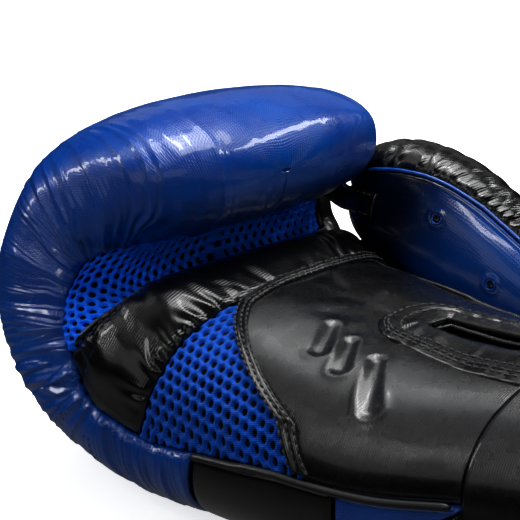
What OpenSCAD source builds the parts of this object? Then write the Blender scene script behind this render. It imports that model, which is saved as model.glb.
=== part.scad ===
// Right-hand training glove for boxing, lying on the back of the hand with the palm up.
// +X runs from the fist to the wrist, +Y from the little finger to the thumb, +Z up.
// The origin is under the middle of the glove, on the surface it lies on.
// Every cover, pad and lining is one patch between two depths below the same hand surface.

/* [Hand compartment] */
// Overall length from the front of the fist to the wrist opening
glove_l = 276; // [250:1:300]
// Height of the curled fist above the surface it lies on
fist_h = 128; // [114:1:142]
// Width of the fist without the thumb
fist_w = 123; // [110:1:136]

/* [Layers] */
// Thickness of the coated cover material
cover_t = 1.2; // [0.8:0.1:1.6]
// Thickness of the textile lining
lining_t = 1.0; // [0.6:0.1:1.4]
// Gap left between neighbouring pieces
gap = 0.3; // [0.2:0.05:0.4]
// Clearance between stacked layers, which also covers the flats of their facets
nest = 1.0; // [0.8:0.1:1.2]
// Share of the padding depth that the outer foam layer takes
outer_share = 0.55; // [0.4:0.05:0.7]
// Radius of the piping along the seams
piping_r = 1.3; // [0.9:0.1:1.6]

/* [Grip] */
// Radius of the foam roll that the fingers close on
roll_r = 9; // [7:0.5:9]
// Length of that roll
roll_l = 74; // [60:1:84]

/* [Wrist strap] */
// Width of the strap along the wrist
strap_w = 50; // [40:1:54]
// Thickness of the strap
strap_t = 2.6; // [2:0.1:3]
// Thickness of each hook or loop patch
patch_t = 1.2; // [0.8:0.1:1.6]

/* [Hidden] */

// The sections are drawn at 276 x 123 x 128 mm, and the driving sizes stretch them.
kx = glove_l / 276;
ky = fist_w / 123;
kz = fist_h / 128;

// Where the origin lies in the frame that the sections are drawn in
origin_x = 152;
origin_y = 13.4;

// Sections of the hand compartment, from the wrist opening (row 0) to the fingertips (row 14).
// Each row: back point x, z; palm point x, z; half width towards the little finger and the thumb;
// padding depth at the back, at the palm and at the sides; squareness of the palm half.
HAND = [
    [289, 16, 289, 80, 46, 46,  8,  8,  8, 2.3],
    [262, 13, 262, 77, 49, 49,  9,  8,  9, 2.3],
    [232,  9, 232, 74, 52, 51, 13,  7, 11, 2.4],
    [200,  3, 204, 70, 58, 55, 18,  6, 13, 2.5],
    [165, -1, 172, 70, 61, 57, 21,  6, 14, 2.6],
    [125, -1, 143, 72, 62, 59, 25,  7, 16, 2.7],
    [ 88,  0, 119, 72, 62, 60, 31, 18, 18, 2.9],
    [49, 11, 100, 74, 62, 62, 31, 29, 20, 3.4],
    [21, 38, 87, 69, 61, 65, 30, 22, 20, 3.9],
    [14.2, 70, 79, 72, 60, 66, 31, 17, 20, 4.0],
    [27, 103, 80, 82, 57.5, 65, 30, 13, 18, 3.8],
    [49, 120, 89, 86, 55.5, 62, 26, 9, 16, 3.2],
    [78, 128, 98, 89, 52, 60.5, 20, 9, 14, 2.8],
    [100, 126, 104, 91, 50, 59, 17, 9, 13, 2.6],
    [112, 123, 112, 92, 48, 55, 15, 9, 12, 2.5]
];
tip_row = len(HAND) - 1;
last_row = tip_row - 0.02;
nose_row = 12;
// Squareness of the back half, by section
BACK_SQUARE = [[3.5, 2.6], [6, 3.2], [7.6, 3.2], [9, 2.5], [10, 2.2], [11.5, 2.3], [13, 2.6]];

// Sections of the thumb, from its base (row 0) to its tip.
// Each row: centre x, y, z; half width across; half height; padding depth outside and inside.
THUMB = [
    [208, 65, 33,  4, 17,  1.6, 1.4],
    [188, 69, 38,  9, 21,  4.5, 2.0],
    [167, 73, 48, 14, 24,  8.0, 2.6],
    [143, 74, 63, 18, 25,  9.0, 3.0],
    [122, 72, 76, 19, 25,  9.0, 3.0],
    [103, 69, 82, 18, 23, 9.0, 3.0],
    [84, 66, 82, 16, 20, 9.0, 3.0]
];
thumb_tip_row = len(THUMB) - 1;
thumb_last_row = thumb_tip_row - 0.05;
thumb_nose_row = 4.6;
thumb_foam_row = 0.6;

// Angle of the long seams, measured round a section from its back point
SEAM = [[0, 90], [4, 91], [5.6, 87], [6.5, 88], [7.2, 92], [7.8, 99], [8.4, 109], [8.9, 118], [9.4, 126], [10.5, 148]];
// Where each panel edge crosses the palm side: place across the palm (-1 to 1), then section
PALM_EDGE = [[-1, 3.7], [-0.75, 4.05], [-0.56, 4.7], [-0.32, 5.5], [-0.2, 5.85], [0, 6.1], [1, 6.6]];
GRIP_LOW = [[-1, 5.84], [-0.72, 5.87], [-0.54, 5.95], [-0.4, 5.99], [-0.28, 6.04], [0, 6.1], [1, 6.6]];
GRIP_HIGH = [[-1, 7.25], [-0.81, 7.32], [-0.63, 7.4], [-0.46, 7.58], [-0.24, 8.14], [-0.09, 8.45], [0, 8.55], [1, 8.6]];
MESH_TOP = [[-1, 9.55], [-0.75, 10], [0, 10.3], [0.75, 10], [1, 9.55]];
// Where the cuff ends, by the angle round the section, and where the stripe and the back panel end
CUFF_EDGE = [[78, 2.65], [89, 2.05]];
palm_row = 2.05;
stripe_row = 3.4;
knuckle_row = 5.05;
// Where the striking pad meets the pad on the back of the hand, and the pad in the curled end
foam_row = 4.75;
curl_row = 11.4;
// Where the lining of the back ends, and the pocket for the fingertips
back_lining_row = 8.6;
pocket_low = 9.1;
pocket_high = 11.2;
slit_end = 3.79;
// How far across the palm the little finger's vent reaches
vent_inner = -0.2;
// Half width of the slit at the wrist, as a share of the palm, and the share left at its blind end
slit_half = 0.055;
slit_taper = 0.35;
slit_angle = 180 - 90 * slit_half - 1;

// Edges of the thumb's outer cover, measured round a section from its outer side.
// The upper one swings further round towards the tip.
thumb_low = -115;
THUMB_EDGE = [[0, 114], [2.5, 117], [3.5, 121], [4.3, 131], [5.2, 146], [6, 158]];
// Places of the vents on the thumb's inner panel: row, and angle round the section
VENTS = [[3.85, 158], [2.75, 168]];

// Angles round the cuff: sewn end of the strap, its fold at the root, its fold at the side, its free end
strap_sewn = 214;
strap_root = 200;
strap_fold = 75;
strap_end = -24;
strap_s0 = 1 - strap_w / 2 / 27.5;
strap_s1 = 1 + strap_w / 2 / 29.5;
stack = 3 * gap + 2 * patch_t;

// ---- curves and surfaces ----

function table_row(t, i) =
    i < 0 ? 2 * t[0] - t[1] :
    i > len(t) - 1 ? 2 * t[len(t) - 1] - t[len(t) - 2] :
    t[i];

// Smooth curve through the rows of a table
function along(t, s) =
    let (i = max(0, min(floor(s), len(t) - 2)),
         u = s - i,
         a = table_row(t, i - 1),
         b = t[i],
         c = t[i + 1],
         d = table_row(t, i + 2))
    0.5 * (2 * b + (c - a) * u + (2 * a - 5 * b + 4 * c - d) * u * u + (3 * b - a - 3 * c + d) * u * u * u);

function signed_power(v, e) = sign(v) * pow(abs(v), e);

// Shrink factor that rounds off a closed end between two rows
function rounding(s, from, to) =
    let (u = max(0, min(1, (s - from) / (to - from))))
    pow(1 - pow(u, 2.5), 1 / 2.5);

// Point on the hand compartment: section, angle round it, and depth [share of padding, millimetres]
function hand_point(s, phi, depth) =
    let (late = max(0, s - nose_row) / (tip_row - nose_row),
         d_mid = depth[0] * 16 + depth[1],
         r = along(HAND, s - late * d_mid * 0.085),
         span = norm([r[0] - r[2], r[1] - r[3]]),
         ux = (r[0] - r[2]) / span,
         uz = (r[1] - r[3]) / span,
         d_back = depth[0] * r[6] + depth[1],
         d_palm = depth[0] * r[7] + depth[1],
         d_side = depth[0] * r[8] + depth[1],
         k = rounding(s, nose_row, tip_row),
         half = (span - d_back - d_palm) / 2 * k,
         mx = (r[0] + r[2]) / 2 + ux * (d_palm - d_back) / 2,
         mz = (r[1] + r[3]) / 2 + uz * (d_palm - d_back) / 2,
         b = ((sin(phi) < 0 ? r[4] : r[5]) - d_side) * k,
         e = 2 / (cos(phi) > 0 ? lookup(s, BACK_SQUARE) : r[9]),
         f = signed_power(cos(phi), e),
         g = signed_power(sin(phi), e))
    [(mx + ux * half * f - origin_x) * kx,
     (b * g - origin_y) * ky,
     max((mz + uz * half * f) * kz, max(0, depth[0] * 14 + depth[1]))];

// Point on the thumb: section, angle round it (0 outside, 90 top, 180 inside), and depth
function thumb_point(s, psi, depth) =
    let (late = max(0, s - thumb_nose_row) / (thumb_tip_row - thumb_nose_row),
         d_mid = depth[0] * 6 + depth[1],
         t = s - late * d_mid * 0.06,
         r = along(THUMB, t),
         q = along(THUMB, t + 0.05) - along(THUMB, t - 0.05),
         run = norm([q[0], q[2]]),
         nx = q[2] / run,
         nz = -q[0] / run,
         k = rounding(s, thumb_nose_row, thumb_tip_row),
         d_out = depth[0] * r[5] + depth[1],
         d_in = depth[0] * r[6] + depth[1],
         half_y = (2 * r[3] - d_out - d_in) / 2 * k,
         half_n = (r[4] - depth[0] * (r[5] + r[6]) / 2 - depth[1]) * k,
         cy = r[1] + (d_in - d_out) / 2,
         f = signed_power(cos(psi), 2 / 2.3),
         g = signed_power(sin(psi), 2 / 2.3))
    [(r[0] + nx * half_n * g - origin_x) * kx,
     (cy + half_y * f - origin_y) * ky,
     (r[2] + nz * half_n * g) * kz];

function seam(s) = lookup(s, SEAM);

// Angle on the palm half: -1 is the little finger's seam, 0 the middle, 1 the thumb's seam
function palm_angle(s, w) = w < 0 ? -180 + (180 - seam(s)) * -w : 180 - (180 - seam(s)) * w;

function mix(a, b, u) = a + (b - a) * u;

// Gaps at the edges of a patch, as a step between sections and as a share of the width across
step = 0.5 / 28;
side = 0.5 / 50;

// ---- builders ----

function quad(a, b, c, d) = [[a, b, c], [a, c, d]];

// A patch of the surface "at", as thick as the space between two depths.
// place(v, q) gives [section, angle] for v along the patch and q across it.
// From row "weld" on, the two long edges are joined; "capped" closes the far end.
module layer(at, place, rows, cols, top, under, weld = 1000, capped = false) {
    n = cols + 1;
    size = (rows + 1) * n;
    id = function(l, i, j) l * size + i * n + (j == cols && i >= weld ? 0 : j);
    points = [
        for (depth = [top, under], i = [0 : rows], j = [0 : cols])
            let (p = place(i / rows, j / cols)) at(p[0], p[1], depth)
    ];
    skin = [for (i = [0 : rows - 1], j = [0 : cols - 1])
        each quad(id(0, i, j), id(0, i, j + 1), id(0, i + 1, j + 1), id(0, i + 1, j))];
    base = [for (i = [0 : rows - 1], j = [0 : cols - 1])
        each quad(id(1, i, j), id(1, i + 1, j), id(1, i + 1, j + 1), id(1, i, j + 1))];
    near_wall = [for (j = [0 : cols - 1])
        each quad(id(0, 0, j), id(1, 0, j), id(1, 0, j + 1), id(0, 0, j + 1))];
    far_wall = [for (j = [0 : cols - 1])
        each quad(id(0, rows, j), id(0, rows, j + 1), id(1, rows, j + 1), id(1, rows, j))];
    caps = [
        [for (j = [0 : cols - 1]) id(0, rows, j)],
        [for (j = [cols - 1 : -1 : 0]) id(1, rows, j)]
    ];
    open_rows = min(weld, rows);
    side_walls = open_rows == 0 ? [] : [for (i = [0 : open_rows - 1])
        each concat(quad(id(0, i, 0), id(0, i + 1, 0), id(1, i + 1, 0), id(1, i, 0)),
                    quad(id(0, i, cols), id(1, i, cols), id(1, i + 1, cols), id(0, i + 1, cols)))];
    polyhedron(points, concat(skin, base, near_wall, capped ? caps : far_wall, side_walls));
}

// Outward direction of a surface at a place on it
function outward(at, p) =
    let (v = at(p[0], p[1], [0, 0]) - at(p[0], p[1], [0, 3])) v / norm(v);

// A round bead laid on the surface along path(v), lifted by "lift"
module bead(at, path, count, r, lift, sides = 6) {
    centres = [for (i = [0 : count]) let (p = path(i / count)) at(p[0], p[1], [0, 0]) + outward(at, p) * lift];
    rings = [for (i = [0 : count])
        let (ahead = centres[min(count, i + 1)] - centres[max(0, i - 1)],
             t = ahead / norm(ahead),
             up = outward(at, path(i / count)),
             b = cross(t, up) / norm(cross(t, up)),
             n = cross(b, t))
        for (j = [0 : sides - 1]) centres[i] + r * (cos(360 * j / sides) * n + sin(360 * j / sides) * b)];
    skin = [for (i = [0 : count - 1], j = [0 : sides - 1])
        let (j2 = (j + 1) % sides)
        each quad(i * sides + j, (i + 1) * sides + j, (i + 1) * sides + j2, i * sides + j2)];
    ends = [
        [for (j = [0 : sides - 1]) j],
        [for (j = [sides - 1 : -1 : 0]) count * sides + j]
    ];
    polyhedron(rings, concat(skin, ends));
}

hand = function(s, phi, depth) hand_point(s, phi, depth);
thumb = function(s, psi, depth) thumb_point(s, psi, depth);

COVER = [[0, 0], [0, cover_t]];
FOAM_OUT = [[0, cover_t + 1.8 * nest], [outer_share, 0]];
FOAM_IN = [[outer_share, nest], [1, 0]];
FOAM = [[0, cover_t + nest], [1, 0]];
LINING = [[1, nest], [1, nest + lining_t]];

// Patch round the back from the little finger's seam to the thumb's, short of both by "inset" degrees
module back_layer(s0, s1, rows, cols, depths, inset = 0.4) {
    layer(hand, function(v, q) let (s = mix(s0, s1, v)) [s, mix(-1, 1, q) * (seam(s) - inset)],
        rows, cols, depths[0], depths[1]);
}

// Patch across the palm side between two edge tables
module palm_layer(low, high, w0, w1, rows, cols, depths) {
    layer(hand, function(v, q)
            let (w = mix(w1, w0, q), s = mix(lookup(w, low) + step, lookup(w, high) - step, v))
            [s, palm_angle(s, w * (1 - side))],
        rows, cols, depths[0], depths[1]);
}

// ---- outer covers ----

blue = [0.05, 0.2, 0.66];
black = [0.09, 0.09, 0.1];
grey = [0.35, 0.35, 0.37];

module knuckle_cover() {
    close_v = (10.4 - knuckle_row) / (last_row - knuckle_row);
    rows = 25;
    weld_row = ceil(close_v * rows);
    place = function(v, q)
        let (s = mix(knuckle_row + step, last_row, v),
             open = lookup(s, [[9.63, 0], [10.09, 0.25], [10.4, 1]]),
             edge = v * rows >= weld_row ? 180 : mix(seam(s) - 0.4, 179.2, open))
        [s, mix(-edge, edge, q)];
    color(blue) layer(hand, place, rows, 26, COVER[0], COVER[1], weld_row, true);
}

module back_panel() {
    color(black) back_layer(stripe_row + step, knuckle_row - step, 7, 22, COVER);
}

module back_stripe() {
    place = function(v, q)
        let (phi = mix(-1, 1, q) * (seam(palm_row) - 0.4))
        [mix(lookup(abs(phi), CUFF_EDGE) + 4 * step, stripe_row - step, v), phi];
    color(blue) layer(hand, place, 4, 22, COVER[0], COVER[1]);
}

// The cuff runs all round but for the slit in the palm
module cuff_cover() {
    place = function(v, q)
        let (phi = mix(-1, 1, q) * slit_angle)
        [mix(0.08, lookup(abs(phi), CUFF_EDGE) - step, v), phi];
    color(black) layer(hand, place, 6, 30, COVER[0], COVER[1]);
}

module palm_side(w0, w1) {
    low = [[-1, palm_row], [1, palm_row]];
    palm_layer(low, PALM_EDGE, w0, w1, 8, 9, COVER);
}

// Palm leather on both sides of the slit, joined beyond the slit's blind end
module palm_panel() {
    rows = 14;
    weld_row = 8;
    s_blind = slit_end;
    place = function(v, q)
        let (i = v * rows,
             w_in = i >= weld_row ? 0 : slit_half * mix(1, slit_taper, i / weld_row),
             w = q < 0.5 ? mix(w_in, 1 - side, 1 - 2 * q) : mix(-w_in, -1 + side, 2 * q - 1),
             edge = lookup(w, PALM_EDGE) - step,
             s = i < weld_row ? mix(palm_row + step, min(s_blind, edge - 0.12), i / weld_row)
                 : mix(min(s_blind, edge - 0.12), edge, (i - weld_row) / (rows - weld_row)))
        [s, palm_angle(s, w)];
    color(black) layer_split(place, rows, weld_row, COVER);
}

// Two strips side by side that share their inner edge from row "join" on
module layer_split(place, rows, join, depths) {
    half = 9;
    n = 2 * half + 2;
    size = (rows + 1) * n;
    id = function(l, i, j) l * size + i * n + (j == half + 1 && i >= join ? half : j);
    points = [
        for (depth = depths, i = [0 : rows], j = [0 : n - 1])
            let (q = j <= half ? 0.5 * j / half : 0.5 + 0.5 * (j - half - 1) / half,
                 p = place(i / rows, j == half ? 0.49999 : j == half + 1 ? 0.5 : q))
            hand_point(p[0], p[1], depth)
    ];
    strips = [for (i = [0 : rows - 1], j = [0 : n - 2]) if (j != half) [i, j]];
    skin = [for (k = strips) let (i = k[0], j = k[1])
        each quad(id(0, i, j), id(0, i, j + 1), id(0, i + 1, j + 1), id(0, i + 1, j))];
    base = [for (k = strips) let (i = k[0], j = k[1])
        each quad(id(1, i, j), id(1, i + 1, j), id(1, i + 1, j + 1), id(1, i, j + 1))];
    near_wall = [for (j = [0 : n - 2]) if (j != half)
        each quad(id(0, 0, j), id(1, 0, j), id(1, 0, j + 1), id(0, 0, j + 1))];
    far_wall = [for (j = [0 : n - 2]) if (j != half)
        each quad(id(0, rows, j), id(0, rows, j + 1), id(1, rows, j + 1), id(1, rows, j))];
    outer_walls = [for (i = [0 : rows - 1])
        each concat(quad(id(0, i, 0), id(0, i + 1, 0), id(1, i + 1, 0), id(1, i, 0)),
                    quad(id(0, i, n - 1), id(1, i, n - 1), id(1, i + 1, n - 1), id(0, i + 1, n - 1)))];
    slit_walls = [for (i = [0 : join - 1])
        each concat(quad(id(0, i, half), id(1, i, half), id(1, i + 1, half), id(0, i + 1, half)),
                    quad(id(0, i, half + 1), id(0, i + 1, half + 1), id(1, i + 1, half + 1), id(1, i, half + 1)))];
    polyhedron(points, concat(skin, base, near_wall, far_wall, outer_walls, slit_walls));
}

module side_vent_mesh() {
    color([0.1, 0.3, 0.8]) palm_layer(PALM_EDGE, GRIP_LOW, -1, vent_inner, 8, 11, COVER);
}

module finger_vent_mesh() {
    color([0.1, 0.3, 0.8]) palm_layer(GRIP_HIGH, MESH_TOP, -1, 1, 4, 24, COVER);
}

module grip_cover() {
    low = [for (p = GRIP_LOW) [p[0], max(p[1], lookup(p[0], PALM_EDGE))]];
    color(black) palm_layer(low, GRIP_HIGH, -1, 1, 8, 24, COVER);
}

// ---- padding ----

module knuckle_foam_outer() {
    color("whitesmoke") back_layer(foam_row, curl_row, 15, 18, FOAM_OUT, 3);
}

module knuckle_foam_inner() {
    color("gainsboro") back_layer(foam_row, curl_row, 12, 12, FOAM_IN, 3);
}

// Solid pad that fills the curled end beyond the finger pocket
module curl_foam() {
    place = function(v, q) [mix(curl_row + step, last_row, v), mix(-180, 180, q)];
    color("whitesmoke") layer(hand, place, 8, 20, FOAM[0], FOAM[1], 0, true);
}

module back_foam() {
    color("whitesmoke") back_layer(palm_row + step, foam_row - step, 8, 16, FOAM, 3);
}

// Thin pads on both sides of the slit, which end short of the grip roll
module palm_foam() {
    low = [[-1, palm_row], [1, palm_row]];
    high = [[-1, 3.6], [-0.56, 4.6], [-0.3, 5.4], [1, 5.6]];
    color("gainsboro") {
        palm_layer(low, high, -1, -slit_half, 8, 6, FOAM);
        palm_layer(low, high, slit_half, 1, 8, 6, FOAM);
    }
}

module cuff_foam() {
    place = function(v, q) [mix(0.1, palm_row - step, v), mix(-1, 1, q) * slit_angle];
    color("gainsboro") layer(hand, place, 4, 22, FOAM[0], FOAM[1]);
}

module grip_roll() {
    bar = along(HAND, 7.2);
    translate([(bar[2] - origin_x) * kx, (0 - origin_y) * ky, bar[3] * kz - 3.5 - roll_r])
        rotate([90, 0, 0])
            color("ivory") cylinder(h = roll_l, r = roll_r, center = true, $fn = 48);
}

// ---- linings ----

module back_lining() {
    color("dimgray") back_layer(palm_row + step, back_lining_row, 11, 12, LINING, 3);
}

module palm_lining() {
    low = [[-1, palm_row], [1, palm_row]];
    high = [[-1, 7.4], [-0.5, 8.3], [1, 8.4]];
    color("dimgray") {
        palm_layer(low, high, -1, -slit_half, 10, 5, LINING);
        palm_layer(low, high, slit_half, 1, 10, 5, LINING);
    }
}

// Pocket for the fingertips
module finger_lining() {
    place = function(v, q) [mix(pocket_low, pocket_high, v), mix(-180, 180, q)];
    color("dimgray") layer(hand, place, 5, 22, LINING[0] + [0, 2 * gap], LINING[1] + [0, 2 * gap], 0);
}

module cuff_lining() {
    place = function(v, q) [mix(0.1, palm_row - step, v), mix(-1, 1, q) * slit_angle];
    color("dimgray") layer(hand, place, 4, 22, LINING[0], LINING[1]);
}

// ---- thumb ----

function thumb_edge(s) = lookup(s, THUMB_EDGE);

// Patch round the outside of the thumb
module thumb_outer(s0, rows, cols, depths) {
    place = function(v, q) let (s = mix(s0, thumb_last_row, v)) [s, mix(thumb_low, thumb_edge(s) - 1, q)];
    layer(thumb, place, rows, cols, depths[0], depths[1]);
}

// Patch on the side that faces the palm
module thumb_inner(s0, rows, cols, depths) {
    place = function(v, q) let (s = mix(s0, thumb_last_row, v)) [s, mix(thumb_edge(s) + 1, 359 + thumb_low, q)];
    layer(thumb, place, rows, cols, depths[0], depths[1]);
}

module thumb_cover() {
    color(black) thumb_outer(0, 15, 12, COVER);
}

module thumb_panel() {
    color(blue) thumb_inner(0, 15, 8, COVER);
}

module thumb_foam() {
    color("whitesmoke") thumb_outer(thumb_foam_row, 10, 10, FOAM);
}

module thumb_panel_foam() {
    color("gainsboro") thumb_inner(thumb_foam_row, 10, 5, FOAM);
}

module thumb_lining() {
    place = function(v, q) [mix(thumb_foam_row, thumb_last_row, v), mix(-180, 180, q)];
    color("dimgray") layer(thumb, place, 10, 12, LINING[0], LINING[1], 0, true);
}

// Punched vents with a raised rim
module thumb_vents() {
    for (p = VENTS) {
        n = outward(thumb, p);
        c = thumb_point(p[0], p[1], [0, 0]) + n * 2 * gap;
        translate(c)
            rotate([0, acos(n[2]), atan2(n[1], n[0])])
                color("midnightblue") rotate_extrude($fn = 32) translate([1.5, 0]) square([1.1, 0.6]);
    }
}

// Leather lining of the crotch between thumb and palm
module thumb_gusset() {
    place = function(v, q) [mix(3.1, 5.5, v), mix(108, 142, q)];
    color(black) layer(hand, place, 8, 6, [0, -1 - gap], [0, -gap]);
}

// Short strap that keeps the thumb beside the curled fingers
module thumb_tether() {
    width = 9;
    half_t = 0.9;
    fist_end = hand_point(10.8, 114, [0, -half_t - 6 * gap]);
    thumb_end = thumb_point(5.85, 180, [0, -half_t - 8 * gap]);
    color(black) hull() {
        for (end = [fist_end, thumb_end], x = [-width / 2, width / 2])
            translate(end + [x, 0, 0]) sphere(r = half_t, $fn = 16);
    }
}

// ---- seams, bindings and the slit ----

// Piping along the little finger's seam and the thumb's
module seam_piping(hand_side, s0, s1, count) {
    path = function(v) let (s = mix(s0, s1, v)) [s, hand_side * seam(s)];
    bead(hand, path, count, piping_r, piping_r + 2 * gap);
}

module side_piping() {
    color(grey) seam_piping(-1, palm_row + 0.05, 5, 16);
}

module thumb_side_piping() {
    color(grey) seam_piping(1, palm_row + 0.05, 5, 16);
}

// Piping along an edge that crosses the palm side
module grip_piping() {
    ahead = 0.13;
    path = function(v) let (w = mix(0.93, -0.93, v), s = lookup(w, GRIP_HIGH) + ahead) [s, palm_angle(s, w)];
    color(black) bead(hand, path, 36, 0.8, 0.8 + 9 * gap);
}

// Flat welt with two rows of stitching along the palm leather's front edge
module palm_welt() {
    half_w = 2.4;
    place = function(v, q)
        let (w = mix(0.95, -0.95, q), s = lookup(w, PALM_EDGE) + mix(-1, 1, v) * half_w / 24)
        [s, palm_angle(s, w)];
    color(black) layer(hand, place, 2, 30, [0, -1.1], [0, -gap]);
}

module thumb_piping() {
    path = function(v) let (s = mix(0.2, thumb_tip_row - 0.8, v)) [s, thumb_edge(s)];
    color("royalblue") bead(thumb, path, 26, 0.7, 0.7 + 2 * gap);
}

// U-shaped facing round the slit: q runs along it, v from the slit's edge outwards
module slit_facing() {
    arm = 0.38;
    per_row = 31;
    per_palm = 78;
    band = 9;
    tip_band = 18;
    place = function(v, q)
        let (a = max(0, min(1, (q - arm) / (1 - 2 * arm))) * 180,
             reach = min(1, min(q, 1 - q) / arm),
             half = slit_half * per_palm * mix(1, slit_taper, reach) + mix(0.6, mix(2 * band, band, reach), v),
             s = mix(palm_row + step, slit_end, reach) + sin(a) * mix(1, tip_band, v) / per_row,
             w = cos(a) * half / per_palm)
        [s, palm_angle(s, w)];
    color(black) layer(hand, place, 2, 30, [0, -1.3], [0, -gap]);
}

// Elastic that closes the slit at the depth of the padding
module slit_elastic() {
    spread = function(s) lookup(s, [[0, 179.5 - slit_angle], [palm_row, 85 * slit_half],
                                    [slit_end, 80 * slit_half * slit_taper]]);
    place = function(v, q) let (s = mix(0.1, slit_end - 0.05, v)) [s, 180 + mix(-1, 1, q) * spread(s)];
    color("darkslategray") layer(hand, place, 14, 4, [0, 3.2], [0, 4.2]);
}

// Tape that binds the layers at the wrist opening
module cuff_binding() {
    place = function(v, q) [mix(-0.037, 0.06, v), mix(-1, 1, q) * slit_angle];
    color(black) layer(hand, place, 1, 36, [0, -0.4], [1, lining_t + 2 * gap]);
}

// ---- wrist strap ----

// Height of the strap above the cuff: it climbs onto the hook and loop patches
function strap_lift(phi) = lookup(phi, [[strap_fold - 12, stack], [strap_fold + 25, 2 * gap]]);

module strap_patch(phi0, phi1, cols) {
    layer(function(s, phi, depth) hand_point(s, phi, [0, depth[1] - strap_lift(phi)]),
        function(v, q) [mix(strap_s0, strap_s1, v), mix(phi1, phi0, q)],
        4, cols, [0, -strap_t], [0, 0]);
}

module strap_anchor() {
    color(black) strap_patch(strap_sewn, strap_root + 0.6, 3);
}

module strap_bridge() {
    color(black) strap_patch(strap_root, strap_fold + 0.6, 22);
}

module strap_tail() {
    color(black) strap_patch(strap_fold, strap_end, 20);
}

// Patch under the strap's free end, and the field it grips on the cuff
module closure_patch(phi0, phi1, low, margin) {
    place = function(v, q) [mix(strap_s0 + margin, strap_s1 - margin, v), mix(phi1, phi0, q)];
    layer(hand, place, 3, 16, [0, -low - patch_t], [0, -low]);
}

module strap_hook_patch() {
    color("dimgray") closure_patch(strap_fold - 14, strap_end + 4, stack - patch_t - gap / 2, 0.12);
}

module strap_loop_patch() {
    color("darkslategray") closure_patch(strap_fold - 10, strap_end - 14, gap, 0.08);
}

// Doubled tab to pull the strap open by
module strap_end_tab() {
    place = function(v, q) [mix(strap_s0 + 0.25, strap_s1 - 0.25, v), mix(strap_end - 9, strap_end - 0.6, q)];
    color(grey) layer(hand, place, 3, 4, [0, -stack - strap_t], [0, -stack]);
}

knuckle_cover();
back_panel();
back_stripe();
cuff_cover();
palm_panel();
side_vent_mesh();
finger_vent_mesh();
grip_cover();
knuckle_foam_outer();
knuckle_foam_inner();
curl_foam();
back_foam();
palm_foam();
cuff_foam();
grip_roll();
back_lining();
palm_lining();
finger_lining();
cuff_lining();
thumb_cover();
thumb_panel();
thumb_foam();
thumb_panel_foam();
thumb_lining();
thumb_vents();
thumb_tether();
thumb_gusset();
slit_facing();
slit_elastic();
cuff_binding();
side_piping();
thumb_side_piping();
grip_piping();
palm_welt();
thumb_piping();
strap_anchor();
strap_bridge();
strap_tail();
strap_hook_patch();
strap_loop_patch();
strap_end_tab();
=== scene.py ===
import math

import bpy
import numpy as np
from mathutils import Matrix, Vector, kdtree


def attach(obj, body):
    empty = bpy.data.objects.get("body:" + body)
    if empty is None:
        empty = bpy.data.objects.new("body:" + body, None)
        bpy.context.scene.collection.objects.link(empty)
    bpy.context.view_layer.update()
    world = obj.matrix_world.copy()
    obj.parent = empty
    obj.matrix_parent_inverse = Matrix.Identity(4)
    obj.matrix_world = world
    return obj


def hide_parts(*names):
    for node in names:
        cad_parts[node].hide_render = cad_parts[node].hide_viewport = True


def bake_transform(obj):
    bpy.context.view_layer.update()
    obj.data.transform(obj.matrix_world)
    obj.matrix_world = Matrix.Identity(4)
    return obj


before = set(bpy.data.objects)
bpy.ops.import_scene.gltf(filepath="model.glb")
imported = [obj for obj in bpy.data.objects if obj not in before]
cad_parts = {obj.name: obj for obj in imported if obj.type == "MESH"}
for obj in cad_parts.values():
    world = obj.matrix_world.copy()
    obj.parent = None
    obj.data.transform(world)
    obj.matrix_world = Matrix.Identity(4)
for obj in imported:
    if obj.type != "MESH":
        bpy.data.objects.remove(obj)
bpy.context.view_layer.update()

# The glove is drawn from the same sections as the CAD part, in millimetres, and made in metres.
MM = 0.001
FINE = 1.0

# ---- surfaces

# Rows from the wrist to the fingertips: x and z of the back, x and z of the palm, half width on the little
# finger's and on the thumb's side, padding on the back, the palm and the sides, and how square it is.
HAND = np.array([
    [289, 16, 289, 80, 46, 46, 8, 8, 8, 2.3],
    [262, 13, 262, 77, 49, 49, 9, 8, 9, 2.3],
    [232, 9, 232, 74, 52, 51, 13, 7, 11, 2.4],
    [200, 3, 204, 70, 58, 55, 18, 6, 13, 2.5],
    [165, -1, 172, 70, 61, 57, 21, 6, 14, 2.6],
    [125, -1, 143, 72, 62, 59, 25, 7, 16, 2.7],
    [88, 0, 119, 72, 62, 60, 31, 18, 18, 2.9],
    [49, 11, 100, 74, 62, 62, 31, 29, 20, 3.4],
    [21, 38, 87, 69, 61, 65, 30, 22, 20, 3.9],
    [14.2, 70, 79, 72, 60, 66, 31, 17, 20, 4.0],
    [27, 103, 80, 82, 57.5, 65, 30, 13, 18, 3.8],
    [49, 120, 89, 86, 55.5, 62, 26, 9, 16, 3.2],
    [78, 128, 98, 89, 52, 60.5, 20, 9, 14, 2.8],
    [100, 126, 104, 91, 50, 59, 17, 9, 13, 2.6],
    [112, 123, 112, 92, 48, 55, 15, 9, 12, 2.5],
], float)
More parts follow.
